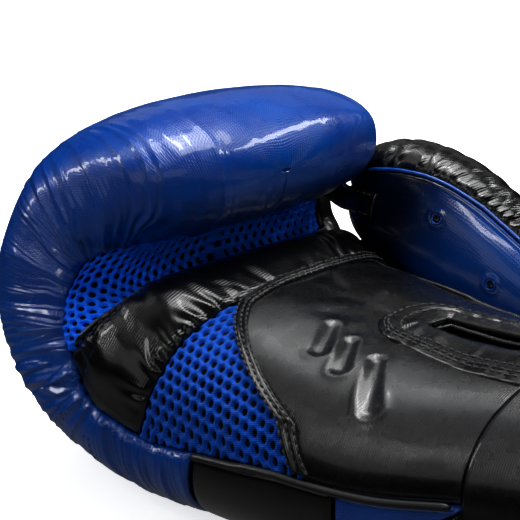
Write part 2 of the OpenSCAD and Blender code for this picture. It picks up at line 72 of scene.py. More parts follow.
# Rows from the thumb's root to its tip: x, y and z of the middle, half width along y and across it, and
# padding on the outer and on the inner side.
THUMB = np.array([
    [208, 65, 33, 4, 17, 1.6, 1.4],
    [188, 69, 38, 9, 21, 4.5, 2.0],
    [167, 73, 48, 14, 24, 8.0, 2.6],
    [143, 74, 63, 18, 25, 9.0, 3.0],
    [122, 72, 76, 19, 25, 9.0, 3.0],
    [103, 69, 82, 18, 23, 9.0, 3.0],
    [84, 66, 82, 16, 20, 9.0, 3.0],
], float)
TIP, NOSE, THUMB_TIP, THUMB_NOSE = 14.0, 12.0, 6.0, 4.6  # last row, and the row where the end rounds off
ORIGIN_X, ORIGIN_Y = 152.0, 13.4
TIP_PAD, TIP_STEP = 16, 0.085  # padding at the closed end, and rows that a millimetre of depth takes off it
THUMB_TIP_PAD, THUMB_TIP_STEP = 6, 0.06
FLOOR_PAD = 14  # padding between the hand and the surface the glove lies on
THUMB_DROP, THUMB_DROP_END, THUMB_SQUARE = 9, 1.6, 2.3  # the thumb's root bends towards the palm
COVER_T, LINING_DEPTH = 1.2, 1.6
# Places along the hand (row) or round it (angle or share across the palm) where the panels meet
BACK_SQUARE = [[3.5, 2.6], [6, 3.2], [7.6, 3.2], [9, 2.5], [10, 2.2], [11.5, 2.3], [13, 2.6]]
SEAM = [[0, 90], [4, 91], [5.6, 87], [6.5, 88], [7.2, 92], [7.8, 99], [8.4, 109], [8.9, 118], [9.4, 126],
        [10.5, 148]]
PALM_EDGE = [[-1, 3.7], [-0.75, 4.05], [-0.56, 4.7], [-0.32, 5.5], [-0.2, 5.85], [0, 6.1], [1, 6.6]]
GRIP_LOW = [[-1, 5.84], [-0.72, 5.87], [-0.54, 5.95], [-0.4, 5.99], [-0.28, 6.04], [0, 6.1], [1, 6.6]]
GRIP_HIGH = [[-1, 7.25], [-0.81, 7.32], [-0.63, 7.4], [-0.46, 7.58], [-0.24, 8.14], [-0.09, 8.45], [0, 8.55],
             [1, 8.6]]
MESH_TOP = [[-1, 9.55], [-0.75, 10], [0, 10.3], [0.75, 10], [1, 9.55]]
CLOSE_ROWS = [9.55, 10, 10.3]
CUFF_EDGE = [[78, 2.65], [89, 2.05]]
THUMB_EDGE = [[0, 114], [2.5, 117], [3.5, 121], [4.3, 131], [5.2, 146], [6, 158]]
PALM_ROW, STRIPE_ROW, KNUCKLE_ROW, SLIT_END = 2.05, 3.4, 5.05, 3.79
SLIT_HALF, SLIT_TAPER = 0.055, 0.35
SLIT_ANGLE = 180 - 90 * SLIT_HALF - 1
THUMB_LOW = -115.0
VENT_INNER = -0.2
VENTS = [[3.85, 158], [2.75, 168]]  # row and angle of the air holes in the thumb's panel
STRAP_SEWN, STRAP_ROOT, STRAP_FOLD, STRAP_END = 214, 200, 75, -24
STRAP_S0, STRAP_S1 = 1 - 25 / 27.5, 1 + 25 / 29.5  # 25 mm to each side of the second row
STRAP_T, STACK, GAP = 2.6, 3.3, 0.3  # strap, closed hook and loop tapes under it, gap under the strap
CELL, ROW, CELL_R = 4.3, 3.3, 1.18  # pitch across, pitch along and radius of the air mesh's cells
# Hollows of the palm: row and place across of both ends, half width and depth in millimetres
PALM_FOLDS = [[4.6, -0.17, 4.36, -0.32, 2.5, 1.1], [4.2, -0.22, 3.96, -0.38, 2.5, 1.2],
              [3.74, -0.28, 3.34, -0.56, 2.7, 1.4]]


def look(x, table):
    """Straight lines through the points of a table."""
    t = np.array(table, float)
    return np.interp(x, t[:, 0], t[:, 1])


def curve(table, s):
    """Smooth curve through the rows of a table, at the row numbers s."""
    n = len(table)
    ext = np.vstack([2 * table[0] - table[1], table, 2 * table[-1] - table[-2]])
    i = np.clip(np.floor(s).astype(int), 0, n - 2)
    u = (s - i)[..., None]
    a, b, c, d = (ext[i + k] for k in range(4))
    square, cube = 2 * a - 5 * b + 4 * c - d, 3 * b - a - 3 * c + d
    return 0.5 * (2 * b + (c - a) * u + square * u * u + cube * u ** 3)


def spow(v, e):
    """Power that keeps the sign."""
    return np.sign(v) * np.abs(v) ** e


def rounding(s, start, end):
    """Share of the section that is left as the end rounds off."""
    u = np.clip((s - start) / (end - start), 0, 1)
    return (1 - u ** 2.5) ** 0.4


def hand(s, phi, share=0.0, mm=0.0):
    """Point on the hand compartment: section, angle round it, share of the padding and millimetres deep."""
    s, phi = np.broadcast_arrays(np.asarray(s, float), np.radians(phi))
    late = np.maximum(0, s - NOSE) / (TIP - NOSE)
    r = curve(HAND, s - late * (share * TIP_PAD + mm) * TIP_STEP)
    bx, bz, px, pz, w_little, w_thumb, t_back, t_palm, t_side, square = np.moveaxis(r, -1, 0)
    span = np.hypot(bx - px, bz - pz)
    ux, uz = (bx - px) / span, (bz - pz) / span
    d_back, d_palm, d_side = (share * t + mm for t in (t_back, t_palm, t_side))
    k = rounding(s, NOSE, TIP)
    half = (span - d_back - d_palm) / 2 * k
    mx = (bx + px) / 2 + ux * (d_palm - d_back) / 2
    mz = (bz + pz) / 2 + uz * (d_palm - d_back) / 2
    b = (np.where(np.sin(phi) < 0, w_little, w_thumb) - d_side) * k
    e = 2 / np.where(np.cos(phi) > 0, look(s, BACK_SQUARE), square)
    f, g = spow(np.cos(phi), e), spow(np.sin(phi), e)
    floor = np.maximum(0, share * FLOOR_PAD + mm)
    z = np.maximum(mz + uz * half * f, floor)
    return np.stack([mx + ux * half * f - ORIGIN_X, b * g - ORIGIN_Y, z], -1)


def thumb(s, psi, share=0.0, mm=0.0):
    """Point on the thumb, in the same terms: its angle runs from the outer side over the top."""
    s, psi = np.broadcast_arrays(np.asarray(s, float), np.radians(psi))
    late = np.maximum(0, s - THUMB_NOSE) / (THUMB_TIP - THUMB_NOSE)
    t = s - late * (share * THUMB_TIP_PAD + mm) * THUMB_TIP_STEP
    r = curve(THUMB, t)
    q = curve(THUMB, t + 0.05) - curve(THUMB, t - 0.05)
    run = np.hypot(q[..., 0], q[..., 2])
    nx, nz = q[..., 2] / run, -q[..., 0] / run
    k = rounding(s, THUMB_NOSE, THUMB_TIP)
    d_out, d_in = share * r[..., 5] + mm, share * r[..., 6] + mm
    half_y = (2 * r[..., 3] - d_out - d_in) / 2 * k
    half_n = (r[..., 4] - share * (r[..., 5] + r[..., 6]) / 2 - mm) * k
    cy = r[..., 1] + (d_in - d_out) / 2 - THUMB_DROP * (1 - smooth(s, 0, THUMB_DROP_END))
    f, g = spow(np.cos(psi), 2 / THUMB_SQUARE), spow(np.sin(psi), 2 / THUMB_SQUARE)
    return np.stack([r[..., 0] + nx * half_n * g - ORIGIN_X, cy + half_y * f - ORIGIN_Y,
                     r[..., 2] + nz * half_n * g], -1)


def seam(s):
    """Angle of the long seams, the same on both sides."""
    return look(s, SEAM)


def palm_angle(s, w):
    """Angle of a place across the palm, from -1 at the little finger's seam to 1 at the thumb's."""
    return np.where(w < 0, -180 + (180 - seam(s)) * -w, 180 - (180 - seam(s)) * w)


def mix(a, b, u):
    return a + (b - a) * u


def smooth(x, lo=0.0, hi=1.0):
    """0 below lo, 1 above hi, and an even step between them."""
    u = np.clip((x - lo) / (hi - lo), 0, 1)
    return u * u * (3 - 2 * u)


def unit(v):
    return v / np.maximum(np.linalg.norm(v, axis=-1, keepdims=True), 1e-9)


def noise(p, cell, seed):
    """Smooth noise from -1 to 1 with features of about cell millimetres."""
    table = np.random.default_rng(seed).uniform(-1, 1, (32, 32, 32))
    i = np.floor(p / cell).astype(int)
    f = p / cell - i
    f = f * f * (3 - 2 * f)
    out = np.zeros(p.shape[:-1])
    for dx, dy, dz in np.ndindex(2, 2, 2):
        w = np.abs(1 - dx - f[..., 0]) * np.abs(1 - dy - f[..., 1]) * np.abs(1 - dz - f[..., 2])
        out += w * table[(i[..., 0] + dx) % 32, (i[..., 1] + dy) % 32, (i[..., 2] + dz) % 32]
    return out


def count(mm, pitch):
    """Rows or columns of a grid over a length."""
    return max(8, int(mm * FINE / pitch))


def down(mm, pitch, a=0, b=1):
    """Column of even steps from a to b, for a grid's rows."""
    return np.linspace(a, b, count(mm, pitch))[:, None]


def over(mm, pitch, a=0, b=1):
    """Row of even steps from a to b, for a grid's columns."""
    return np.linspace(a, b, count(mm, pitch))[None]


# ---- patches

class Patch:
    """A grid on a surface: points, normals, lift along them, and lengths along (v) and across (u), in mm."""

    def __init__(self, p, out):
        self.p = p
        n = np.cross(np.gradient(self.p, axis=0), np.gradient(self.p, axis=1))
        size = np.linalg.norm(n, axis=-1, keepdims=True)
        n = np.where(size > 1e-4, n / np.maximum(size, 1e-9), out)
        self.n = np.where((n * out).sum(-1, keepdims=True) < 0, -n, n)
        dv = np.linalg.norm(np.diff(self.p, axis=0), axis=-1)
        du = np.linalg.norm(np.diff(self.p, axis=1), axis=-1)
        self.v = np.vstack([np.zeros((1, dv.shape[1])), np.cumsum(dv, axis=0)])
        self.u = np.hstack([np.zeros((du.shape[0], 1)), np.cumsum(du, axis=1)])
        self.edge_v0, self.edge_v1 = self.v, self.v[-1:] - self.v
        self.edge_u0, self.edge_u1 = self.u, self.u[:, -1:] - self.u
        self.edges = (self.edge_u0, self.edge_u1, self.edge_v0, self.edge_v1)
        self.d = np.zeros(self.p.shape[:2])
        self.uv = np.stack([self.u - self.u[:, self.u.shape[1] // 2][:, None], self.v], -1)

    def roll_in(self, radius, drop, *edges):
        """The panel's edges turn down into the seam, as turned leather does."""
        for e in edges:
            x = np.clip(1 - e / radius, 0, 1)
            self.d -= drop * (1 - np.sqrt(np.maximum(0, 1 - x * x)))

    def relief(self, *layers):
        """Smooth unevenness, in layers of (height, cell, seed)."""
        self.d += sum(height * noise(self.p, cell, seed) for height, cell, seed in layers)

    def placed(self):
        """Points of the finished surface."""
        return self.p + self.n * self.d[..., None]

    def rows_at(self, *shares):
        """Points and normals of the finished surface along the rows at some shares of its length."""
        at = [int(round(x * (self.p.shape[0] - 1))) for x in shares]
        return [(self.placed()[i], self.n[i]) for i in at]

    def cols_at(self, *shares):
        at = [int(round(x * (self.p.shape[1] - 1))) for x in shares]
        return [(self.placed()[:, i], self.n[:, i]) for i in at]

    def size(self):
        """Width and length of the flat cut, and its area, in metres."""
        along, across = np.diff(self.p, axis=0)[:, :-1], np.diff(self.p, axis=1)[:-1]
        cells = np.linalg.norm(np.cross(along, across), axis=-1)
        return self.u[:, -1].max() * MM, self.v[-1].max() * MM, cells.sum() * MM * MM


def on(at, s, a, lift=0.0):
    """Patch on a surface function, from section and angle grids."""
    s, a = np.broadcast_arrays(s, a)
    p = at(s, a, 0.0, -lift)
    return Patch(p, unit(p - at(s, a, 0.0, 3.0 - lift)))


def inside(at):
    """The surface under all the padding, for the linings."""
    return lambda s, a, share, mm: at(s, a, 1.0, mm + LINING_DEPTH)


def shown(name, data):
    """New object in the scene."""
    o = bpy.data.objects.new(name, data)
    bpy.context.scene.collection.objects.link(o)
    return o


def mesh_of(name, points, faces, corner_uv=None, tone=None):
    """Smooth mesh object from points in millimetres."""
    m = bpy.data.meshes.new(name)
    m.from_pydata((points * MM).tolist(), [], faces)
    if corner_uv is not None:
        layer = m.uv_layers.new(name="weave")
        layer.data.foreach_set("uv", (corner_uv * MM).astype(np.float32).ravel())
    if tone is not None:
        a = m.attributes.new("tone", "FLOAT", "POINT")
        a.data.foreach_set("value", tone.astype(np.float32))
    m.validate()
    m.polygons.foreach_set("use_smooth", [True] * len(m.polygons))
    return shown(name, m)


def sheet_of(name, patch, thick=COVER_T, weld=None, point_end=False, split=None, tone=None):
    """Closed sheet from a patch. weld: row from which the long edges join. split: (column, row) of a slit.
    Faces keep their own UVs, so a weave runs on across a weld."""
    top = patch.placed()
    m, n = top.shape[:2]
    grid = np.arange(m * n).reshape(m, n)
    own = grid.copy()
    if weld is not None:
        own[weld:, -1] = own[weld:, 0]
    if split is not None:
        own[split[1]:, split[0]] = own[split[1]:, split[0] - 1]
    if point_end:
        own[-1, :] = own[-1, 0]
    corners = np.stack([grid[:-1, :-1], grid[:-1, 1:], grid[1:, 1:], grid[1:, :-1]], -1)
    if split is not None:
        corners = np.delete(corners, split[0] - 1, axis=1)
    corners = corners.reshape(-1, 4)
    ids = own.reshape(-1)[corners]
    pts, nrm = top.reshape(-1, 3), patch.n.reshape(-1, 3)
    flat = np.cross(pts[ids[:, 2]] - pts[ids[:, 0]], pts[ids[:, 3]] - pts[ids[:, 1]])
    if (flat * nrm[ids[:, 0]]).sum() < 0:
        ids, corners = ids[:, ::-1], corners[:, ::-1]
    size = m * n
    e0, e1 = ids.ravel(), np.roll(ids, -1, axis=1).ravel()
    c0, c1 = corners.ravel(), np.roll(corners, -1, axis=1).ravel()
    rim = (e0 != e1) & ~np.isin(e0 * size + e1, e1 * size + e0)
    rim_ids = np.stack([e1[rim], e0[rim], e0[rim] + size, e1[rim] + size], -1)
    rim_corners = np.stack([c1[rim], c0[rim], c0[rim], c1[rim]], -1)
    all_ids = np.vstack([ids, ids[:, ::-1] + size, rim_ids])
    all_corners = np.vstack([corners, corners[:, ::-1], rim_corners])
    used, packed = np.unique(all_ids, return_inverse=True)
    packed = packed.reshape(all_ids.shape)
    both = np.vstack([pts, pts - nrm * thick])[used]
    uv = patch.uv.reshape(-1, 2)[all_corners]
    if tone is not None:
        tone = np.concatenate([tone.ravel(), tone.ravel()])[used]
    # quads with two corners in one place become triangles
    own_corner = packed != np.roll(packed, 1, axis=1)
    faces, corner_uv = [], []
    for face, face_uv, keep, whole in zip(packed, uv, own_corner, own_corner.all(1)):
        if whole or keep.sum() >= 3:
            faces.append((face if whole else face[keep]).tolist())
            corner_uv.append(face_uv if whole else face_uv[keep])
    return mesh_of(name, both, faces, np.vstack(corner_uv), tone)


def band(k, m, gaps):
    """Quads between k rings of m points, over k - 1 gaps, or k where the last ring meets the first."""
    return [[i * m + j, i * m + (j + 1) % m, (i + 1) % k * m + (j + 1) % m, (i + 1) % k * m + j]
            for i in range(gaps) for j in range(m)]


def tube_mesh(path, normals, radius, sides):
    """Vertices and faces of a closed tube along a path, with rounded ends."""
    k = len(path)
    t = unit(np.gradient(path, axis=0))
    b = unit(np.cross(t, normals))
    n = np.cross(b, t)
    ends = np.ones(k)
    ends[0] = ends[-1] = 0.35
    ends[1] = ends[-2] = 0.85
    a = np.linspace(0, 2 * np.pi, sides, endpoint=False)
    r = np.broadcast_to(radius, (k,)) * ends
    spokes = np.cos(a)[None, :, None] * n[:, None] + np.sin(a)[None, :, None] * b[:, None]
    ring = path[:, None] + r[:, None, None] * spokes
    ends = [list(range(sides))[::-1], [(k - 1) * sides + j for j in range(sides)]]
    return ring.reshape(-1, 3), band(k, sides, k - 1) + ends


def merged(name, parts):
    """One mesh of several (points, faces)."""
    points, faces, shift = [], [], 0
    for p, f in parts:
        points.append(p)
        faces += [[i + shift for i in q] for q in f]
        shift += len(p)
    return mesh_of(name, np.vstack(points), faces)


def lengths(line):
    """Length along a line up to each of its points."""
    return np.concatenate([[0], np.cumsum(np.linalg.norm(np.diff(line, axis=0), axis=1))])


def resample(points, normals, step):
    """Points along a line at an even step, with their normals."""
    d = lengths(points)
    t = np.linspace(0, d[-1], max(3, int(d[-1] / step) + 1))
    at, nn = (np.stack([np.interp(t, d, g[:, k]) for k in range(3)], -1) for g in (points, normals))
    return at, unit(nn)


def stitches(points, normals, pitch=3.6, length=2.7, radius=0.42, lift=0.1, seed=1):
    """Single stitches along a line: short arched threads that dip into the leather at both ends."""
    rng = np.random.default_rng(seed)
    at, nn = resample(points, normals, pitch)
    tt = unit(np.gradient(at, axis=0))
    parts = []
    x = np.array([-1, -0.8, -0.4, 0, 0.4, 0.8, 1])
    for c, n, t in zip(at[1:-1], nn[1:-1], tt[1:-1]):
        side = np.cross(t, n)
        lean = unit(t + side * rng.uniform(-0.06, 0.06))
        arch = (radius * 0.9) * (1 - x ** 4) - radius * 0.55 + lift
        line = c + lean * (x * length / 2)[:, None] + n * arch[:, None]
        parts.append(tube_mesh(line, np.broadcast_to(n, line.shape), radius, 6))
    return parts


def stitch_rows(name, lines, slot="seam_piping", body="glove", seed=1, **how):
    """One piece of all the stitches along several lines."""
    parts = []
    for k, (points, normals) in enumerate(lines):
        parts += stitches(points, normals, seed=seed + k, **how)
    return dress(merged(name, parts), M_THREAD, slot, body=body)


def piping(name, line, radius, material, node, step=1.2):
    """Round piping along a line."""
    at, nn = resample(*line, step / FINE)
    dress(merged(name, [tube_mesh(at, nn, radius, 12)]), material, "seam_piping", node)


def inset(patch, distance, mm):
    """Line at a set distance from one long edge of a patch, where distance grows from that edge."""
    placed, cols = patch.placed(), range(patch.p.shape[1])
    order = slice(None) if distance[0, 0] < distance[-1, 0] else slice(None, None, -1)
    at = [[np.interp(mm, distance[order, j], grid[order, j, k]) for k in range(3)]
          for grid in (placed, patch.n) for j in cols]
    blur = np.hanning(17) / np.hanning(17).sum()
    at, nn = (np.stack([np.convolve(np.pad(g[:, k], 8, "edge"), blur, "valid") for k in range(3)], -1)
              for g in np.array(at).reshape(2, -1, 3))
    return at, unit(nn)


def cloth(o, patch):
    """Works out the width, length and area of a sewn sheet's flat cut, and returns the piece as it is."""
    width, length, area = patch.size()
    return o


def crease(rng, root, along, up, *limits, bend):
    """One groove for creases(): its length, width and depth are drawn within limits, and then its bend."""
    length, width, depth = (rng.uniform(*pair) for pair in limits)
    return root, along, up, length, width, depth, rng.normal(0, bend)


def creases(patch, grooves, flare=1.2, shoulder=0.45, start=2.0):
    """Grooves that run from their roots, with raised shoulders, and fade over their length."""
    d = np.zeros(patch.p.shape[:2])
    for root, along, up, length, width, depth, bend in grooves:
        rel = patch.p - root
        near = (np.abs(rel) < 1.15 * length + 4).all(-1)
        if not near.any():
            continue
        q = rel[near]
        a, b, c = q @ along, q @ np.cross(along, up), q @ up
        b = b - bend * a * np.abs(a) / length
        x = np.clip(a / length, 0, 1)
        b = b + 0.35 * width * np.sin(a / (3.1 * width) + 7 * depth)
        w = width * (1 + flare * x)
        facing = smooth(patch.n[near] @ up, 0.0, 0.5)
        fade = depth * (1 - x) ** 1.3 * smooth(a, -start, start) * facing * (np.abs(c) < length)
        d[near] -= fade * (np.exp(-(b / w) ** 2) - shoulder * np.exp(-((np.abs(b) - 1.9 * w) / w) ** 2))
    return d


def dent(p, a, b, width, depth):
    """Long soft hollow from a to b with a low rim, as leather sinks where it is pulled."""
    run = b - a
    x = np.clip(((p - a) @ run) / (run @ run), 0, 1)
    r = np.linalg.norm(p - a - x[..., None] * run, axis=-1) / (width * mix(0.85, 1.1, x))
    return depth * mix(0.7, 1.0, x) * (0.3 * np.exp(-((r - 1.6) / 0.55) ** 2) - np.exp(-r ** 2))


def beside(p, line):
    """Distance of points from a line and place along it, in mm, and which point of the line is nearest."""
    tree = kdtree.KDTree(len(line))
    for i, q in enumerate(line.tolist()):
        tree.insert(q, i)
    tree.balance()
    flat = p.reshape(-1, 3)
    found = [tree.find(q)[1:] for q in flat.tolist()]
    near, away = np.array([f[0] for f in found]), np.array([f[1] for f in found])
    run = lengths(line)
    tangent = unit(np.gradient(line, axis=0))
    t = run[near] + ((flat - line[near]) * tangent[near]).sum(-1)
    return tuple(x.reshape(p.shape[:-1]) for x in (away, t, near))


def folds(t, away, pitch, reach, seed, crest=0.15):
    """Gathers of uneven width, height and reach: each has a sharp crest, a steep side and a long slope."""
    rng = np.random.default_rng(seed)
    steps = pitch * rng.uniform(0.6, 1.5, int((t.max() - t.min()) / pitch * 1.4) + 12)
    start = np.cumsum(steps) - 4 * pitch + t.min()
    k = np.clip(np.searchsorted(start, t) - 1, 0, len(steps) - 2)
    x = np.clip((t - start[k]) / steps[k + 1], 0, 1)
    x = np.where(rng.uniform(0, 1, len(steps))[k] < 0.3, 1 - x, x)
    high = rng.uniform(0.45, 1.0, len(steps))[k]
    far = reach * rng.uniform(0.6, 1.5, len(steps))[k]
    shape = np.where(x < crest, smooth(x, 0, crest), ((1 - x) / (1 - crest)) ** 1.4)
    return high * (shape - 0.35 * smooth(x, 0, crest) * smooth(1 - x, 0, crest)) * np.exp(-(away / far) ** 2)


# ---- materials

class Look:
    """A procedural material on a Principled shader."""

    def __init__(self, name, colour, rough, **sockets):
        self.m = bpy.data.materials.new(name)
        self.m.use_nodes = True
        self.t = self.m.node_tree
        self.shader = self.t.nodes["Principled BSDF"]
        self.set("Base Color", (*colour, 1))
        self.set("Roughness", rough)
        for k, v in sockets.items():
            self.set(k.replace("_", " "), v)
        self.uv = None

    def set(self, socket, value):
        if isinstance(value, bpy.types.NodeSocket):
            self.t.links.new(value, self.shader.inputs[socket])
        else:
            self.shader.inputs[socket].default_value = value

    def node(self, kind, inputs=(), **props):
        n = self.t.nodes.new("ShaderNode" + kind)
        for k, v in props.items():
            setattr(n, k, v)
        for k, v in dict(inputs).items():
            if isinstance(v, bpy.types.NodeSocket):
                self.t.links.new(v, n.inputs[k])
            else:
                n.inputs[k].default_value = v
        return n

    def math(self, op, a, b=0.0, c=0.0):
        return self.node("Math", {0: a, 1: b, 2: c}, operation=op).outputs[0]

    def weave(self):
        """UV in millimetres: across and along the panel."""
        if self.uv is None:
            u = self.node("UVMap", uv_map="weave").outputs[0]
            s = self.node("VectorMath", {0: u, 3: 1000.0}, operation="SCALE").outputs[0]
            self.uv = self.node("SeparateXYZ", {0: s}).outputs[:2]
        return self.uv

    def noise(self, scale, detail=3.0, rough=0.55):
        place = self.node("TexCoord").outputs["Object"]
        return self.node("TexNoise", {"Vector": place, "Scale": scale, "Detail": detail,
                                      "Roughness": rough}).outputs["Fac"]

    def ramp(self, fac, lo, hi, a, b):
        return self.node("MapRange", {0: fac, 1: lo, 2: hi, 3: a, 4: b}).outputs[0]

    def mix(self, fac, *colours):
        a, b = (c if isinstance(c, bpy.types.NodeSocket) else (*c, 1) for c in colours)
        return self.node("Mix", {0: fac, 6: a, 7: b}, data_type="RGBA").outputs[2]

    def tone(self):
        return self.node("Attribute", attribute_name="tone").outputs["Fac"]

    def bump(self, *layers):
        """Each layer is (height from 0 to 1, depth in metres)."""
        last = None
        for height, depth in layers:
            inputs = {"Height": height, "Distance": depth, "Strength": 1.0}
            if last is not None:
                inputs["Normal"] = last
            last = self.node("Bump", inputs).outputs[0]
        self.set("Normal", last)


def wave(k, x, pitch, phase=0.0):
    """0 to 1 sine along a coordinate in millimetres."""
    turn = k.math("MULTIPLY_ADD", x, 2 * math.pi / pitch, phase)
    return k.math("MULTIPLY_ADD", k.math("SINE", turn), 0.5, 0.5)


def glossy_cover(name, colour, deep, rough, emboss, pitch=1.0, depth=4e-5, coat=0.35, coat_rough=0.08,
                 gloss=(0.8, 1.3), grain=(1.5e-5, 6e-5), painted_shade_colour=None):
    """Coated synthetic leather: a fine emboss under a clear coat, grain, small changes of colour and gloss,
    and painted shade in another colour where the painted shade mask is high."""
    k = Look(name, colour, rough, Coat_Weight=coat, Coat_Roughness=coat_rough, Coat_IOR=1.5)
    u, v = k.weave()
    if emboss == "woven":
        a, b = wave(k, u, pitch), wave(k, v, pitch, 0.8)
        height = k.math("MULTIPLY", a, b)
    else:
        height = wave(k, v, pitch)
    base = k.mix(k.ramp(k.noise(38.0, 4.0), 0.3, 0.7, 0, 1), deep, colour)
    # painted shade: the colour turns to the shade colour where the painted shade mask is high
    k.set("Base Color", k.mix(k.tone(), base, painted_shade_colour) if painted_shade_colour else base)
    k.set("Roughness", k.ramp(k.noise(140.0, 5.0, 0.65), 0.3, 0.7, rough * gloss[0], rough * gloss[1]))
    k.bump((height, depth), (k.noise(900.0, 3.0, 0.7), grain[0]), (k.noise(220.0, 3.0), grain[1]))
    return k.m


def mesh_fabric(name, light):
    """Knitted air mesh: bright strands made brighter by light, which is painted light, cells painted near
    black as painted shade where the painted shade mask is high, and a fine knit.
    """
    k = Look(name, (0.004, 0.09, 0.42), 0.7, Specular_IOR_Level=0.25)
    u, v = k.weave()
    knit = k.math("MULTIPLY", wave(k, u, 0.62), wave(k, v, 0.5, 1.0))
    # painted light: light scales the strands' brightness
    strand = k.mix(k.ramp(knit, 0.0, 0.6, 0, 1), (0.002, 0.055 * light, 0.36 * light),
                   (0.003, 0.15 * light, 0.8 * light))
    # painted shade: the cells turn near black, for the shade inside them
    k.set("Base Color", k.mix(k.ramp(k.tone(), 0.35, 0.75, 0, 1), strand, (0.001, 0.003, 0.014)))
    k.bump((knit, 1.4e-4), (k.noise(1500.0, 2.0), 5e-5))
    return k.m


def thread(name, colour):
    """Twisted sewing thread."""
    k = Look(name, colour, 0.45, Sheen_Weight=0.2)
    twist = k.noise(2600.0, 2.0)
    k.set("Base Color", k.mix(twist, [c * 0.5 for c in colour], colour))
    k.bump((twist, 8e-5))
    return k.m


def webbing(name, colour, pitch, depth, rough=0.75):
    """Dull woven textile."""
    k = Look(name, colour, rough, Sheen_Weight=0.35, Sheen_Roughness=0.5)
    u, v = k.weave()
    rib = k.math("MULTIPLY", wave(k, u, pitch), wave(k, v, pitch * 0.5, 0.5))
    k.set("Base Color", k.mix(rib, [c * 0.45 for c in colour], colour))
    k.bump((rib, depth), (k.noise(1400.0, 3.0), 4e-5))
    return k.m


BLUE, BLUE_DEEP = (0.001, 0.088, 0.43), (0.0006, 0.052, 0.32)
BLACK, BLACK_DEEP = (0.004, 0.004, 0.0045), (0.002, 0.002, 0.0025)

M_BLUE = glossy_cover("blue_cover", BLUE, BLUE_DEEP, 0.3, "woven", 1.05, 7e-5, 0.5, 0.07)
M_BLACK = glossy_cover("black_cover", BLACK, BLACK_DEEP, 0.22, "rib", 0.9, 6e-5)
M_PALM = glossy_cover("palm_leather", BLACK, BLACK_DEEP, 0.26, "rib", 0.85, 9e-5, 0.45, 0.12)
# painted shade: near black over the thumb panel's tip and in its air holes
M_THUMB = glossy_cover("thumb_panel_cover", BLUE, BLUE_DEEP, 0.2, "woven", 1.05, 3e-5, 0.4, 0.06,
                       gloss=(0.75, 1.35), grain=(1.2e-5, 5e-5), painted_shade_colour=(0.001, 0.002, 0.006))
# One fabric: the finger vent's copy is painted 2.4 against 1.1, painted light where the curl shades it
M_MESH = mesh_fabric("vent_mesh", 1.1)
M_PAINTED_LIGHT_MESH = mesh_fabric("finger_vent_mesh", 2.4)
M_THREAD = thread("black_thread", (0.02, 0.02, 0.022))
M_LINING = webbing("lining", (0.035, 0.035, 0.038), 0.8, 6e-5, 0.65)
M_BINDING = webbing("binding", (0.014, 0.014, 0.015), 1.1, 1.2e-4)
M_ELASTIC = webbing("elastic", (0.012, 0.012, 0.013), 1.6, 2.2e-4)
M_PIPING = glossy_cover("seam_piping", (0.012, 0.012, 0.013), (0.007, 0.007, 0.008), 0.4, "rib", 0.9, 2e-5,
                        0.15)
M_EDGE = glossy_cover("thumb_edge_piping", (0.006, 0.1, 0.5), BLUE, 0.25, "rib", 0.9, 2e-5)
M_EYELET = glossy_cover("eyelet_rim", BLUE, BLUE_DEEP, 0.25, "rib", 0.9, 2e-5)
M_BLACK_PIPING = glossy_cover("black_piping", BLACK, BLACK_DEEP, 0.25, "rib", 0.9, 2e-5)
M_STRAP = glossy_cover("strap_cover", (0.008, 0.008, 0.009), BLACK_DEEP, 0.24, "rib", 0.9, 4e-5)
M_HOOK = webbing("hook_tape", (0.012, 0.012, 0.013), 1.3, 4e-4, 0.6)
M_LOOP = webbing("loop_tape", (0.02, 0.02, 0.022), 0.7, 3e-4, 0.95)


def dress(o, material, slot, *nodes, body="glove", pad=None):
    """Gives a piece its material and body, and hides the CAD nodes that it stands for.
    The colour slot is not used.
    """
    o.data.materials.append(material)
    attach(o, body)
    if nodes:
        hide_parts(*nodes)
    return o


# ---- striking pad

def closing_rows(m, first, nose, tip, share):
    """Rows from the first to a closed end, closer together past nose, where the end rounds off."""
    body = int(m * share)
    a = np.linspace(first, nose, body, endpoint=False)
    theta = np.linspace(0, np.pi / 2, m - body)
    return np.concatenate([a, nose + (tip - nose) * np.sin(theta) ** 0.8])


def cover_edge(s):
    """Angle of the blue cover's edge: the long seam, then the top of the finger vent, then closed."""
    return mix(seam(s) - 0.4, 179.99, np.interp(s, CLOSE_ROWS, [0, 0.25, 1]))


def c_seam():
    """The gathered seam round the palm, and how far each point belongs to the part above the finger vent."""
    s_up = np.linspace(KNUCKLE_ROW, CLOSE_ROWS[0], 400)
    w = np.linspace(-1, 1, 400)
    s_top = look(w, MESH_TOP)
    s = np.concatenate([s_up, s_top, s_up[::-1]])
    phi = np.concatenate([-seam(s_up), palm_angle(s_top, w), seam(s_up)])
    above = np.concatenate([0 * s_up, smooth(1 - np.abs(w), 0, 0.45), 0 * s_up])
    points, above = resample(hand(s, phi), np.stack([above, 1 - above, 0 * above], -1), 0.8)
    return points, above[:, 0] / (above[:, 0] + above[:, 1])


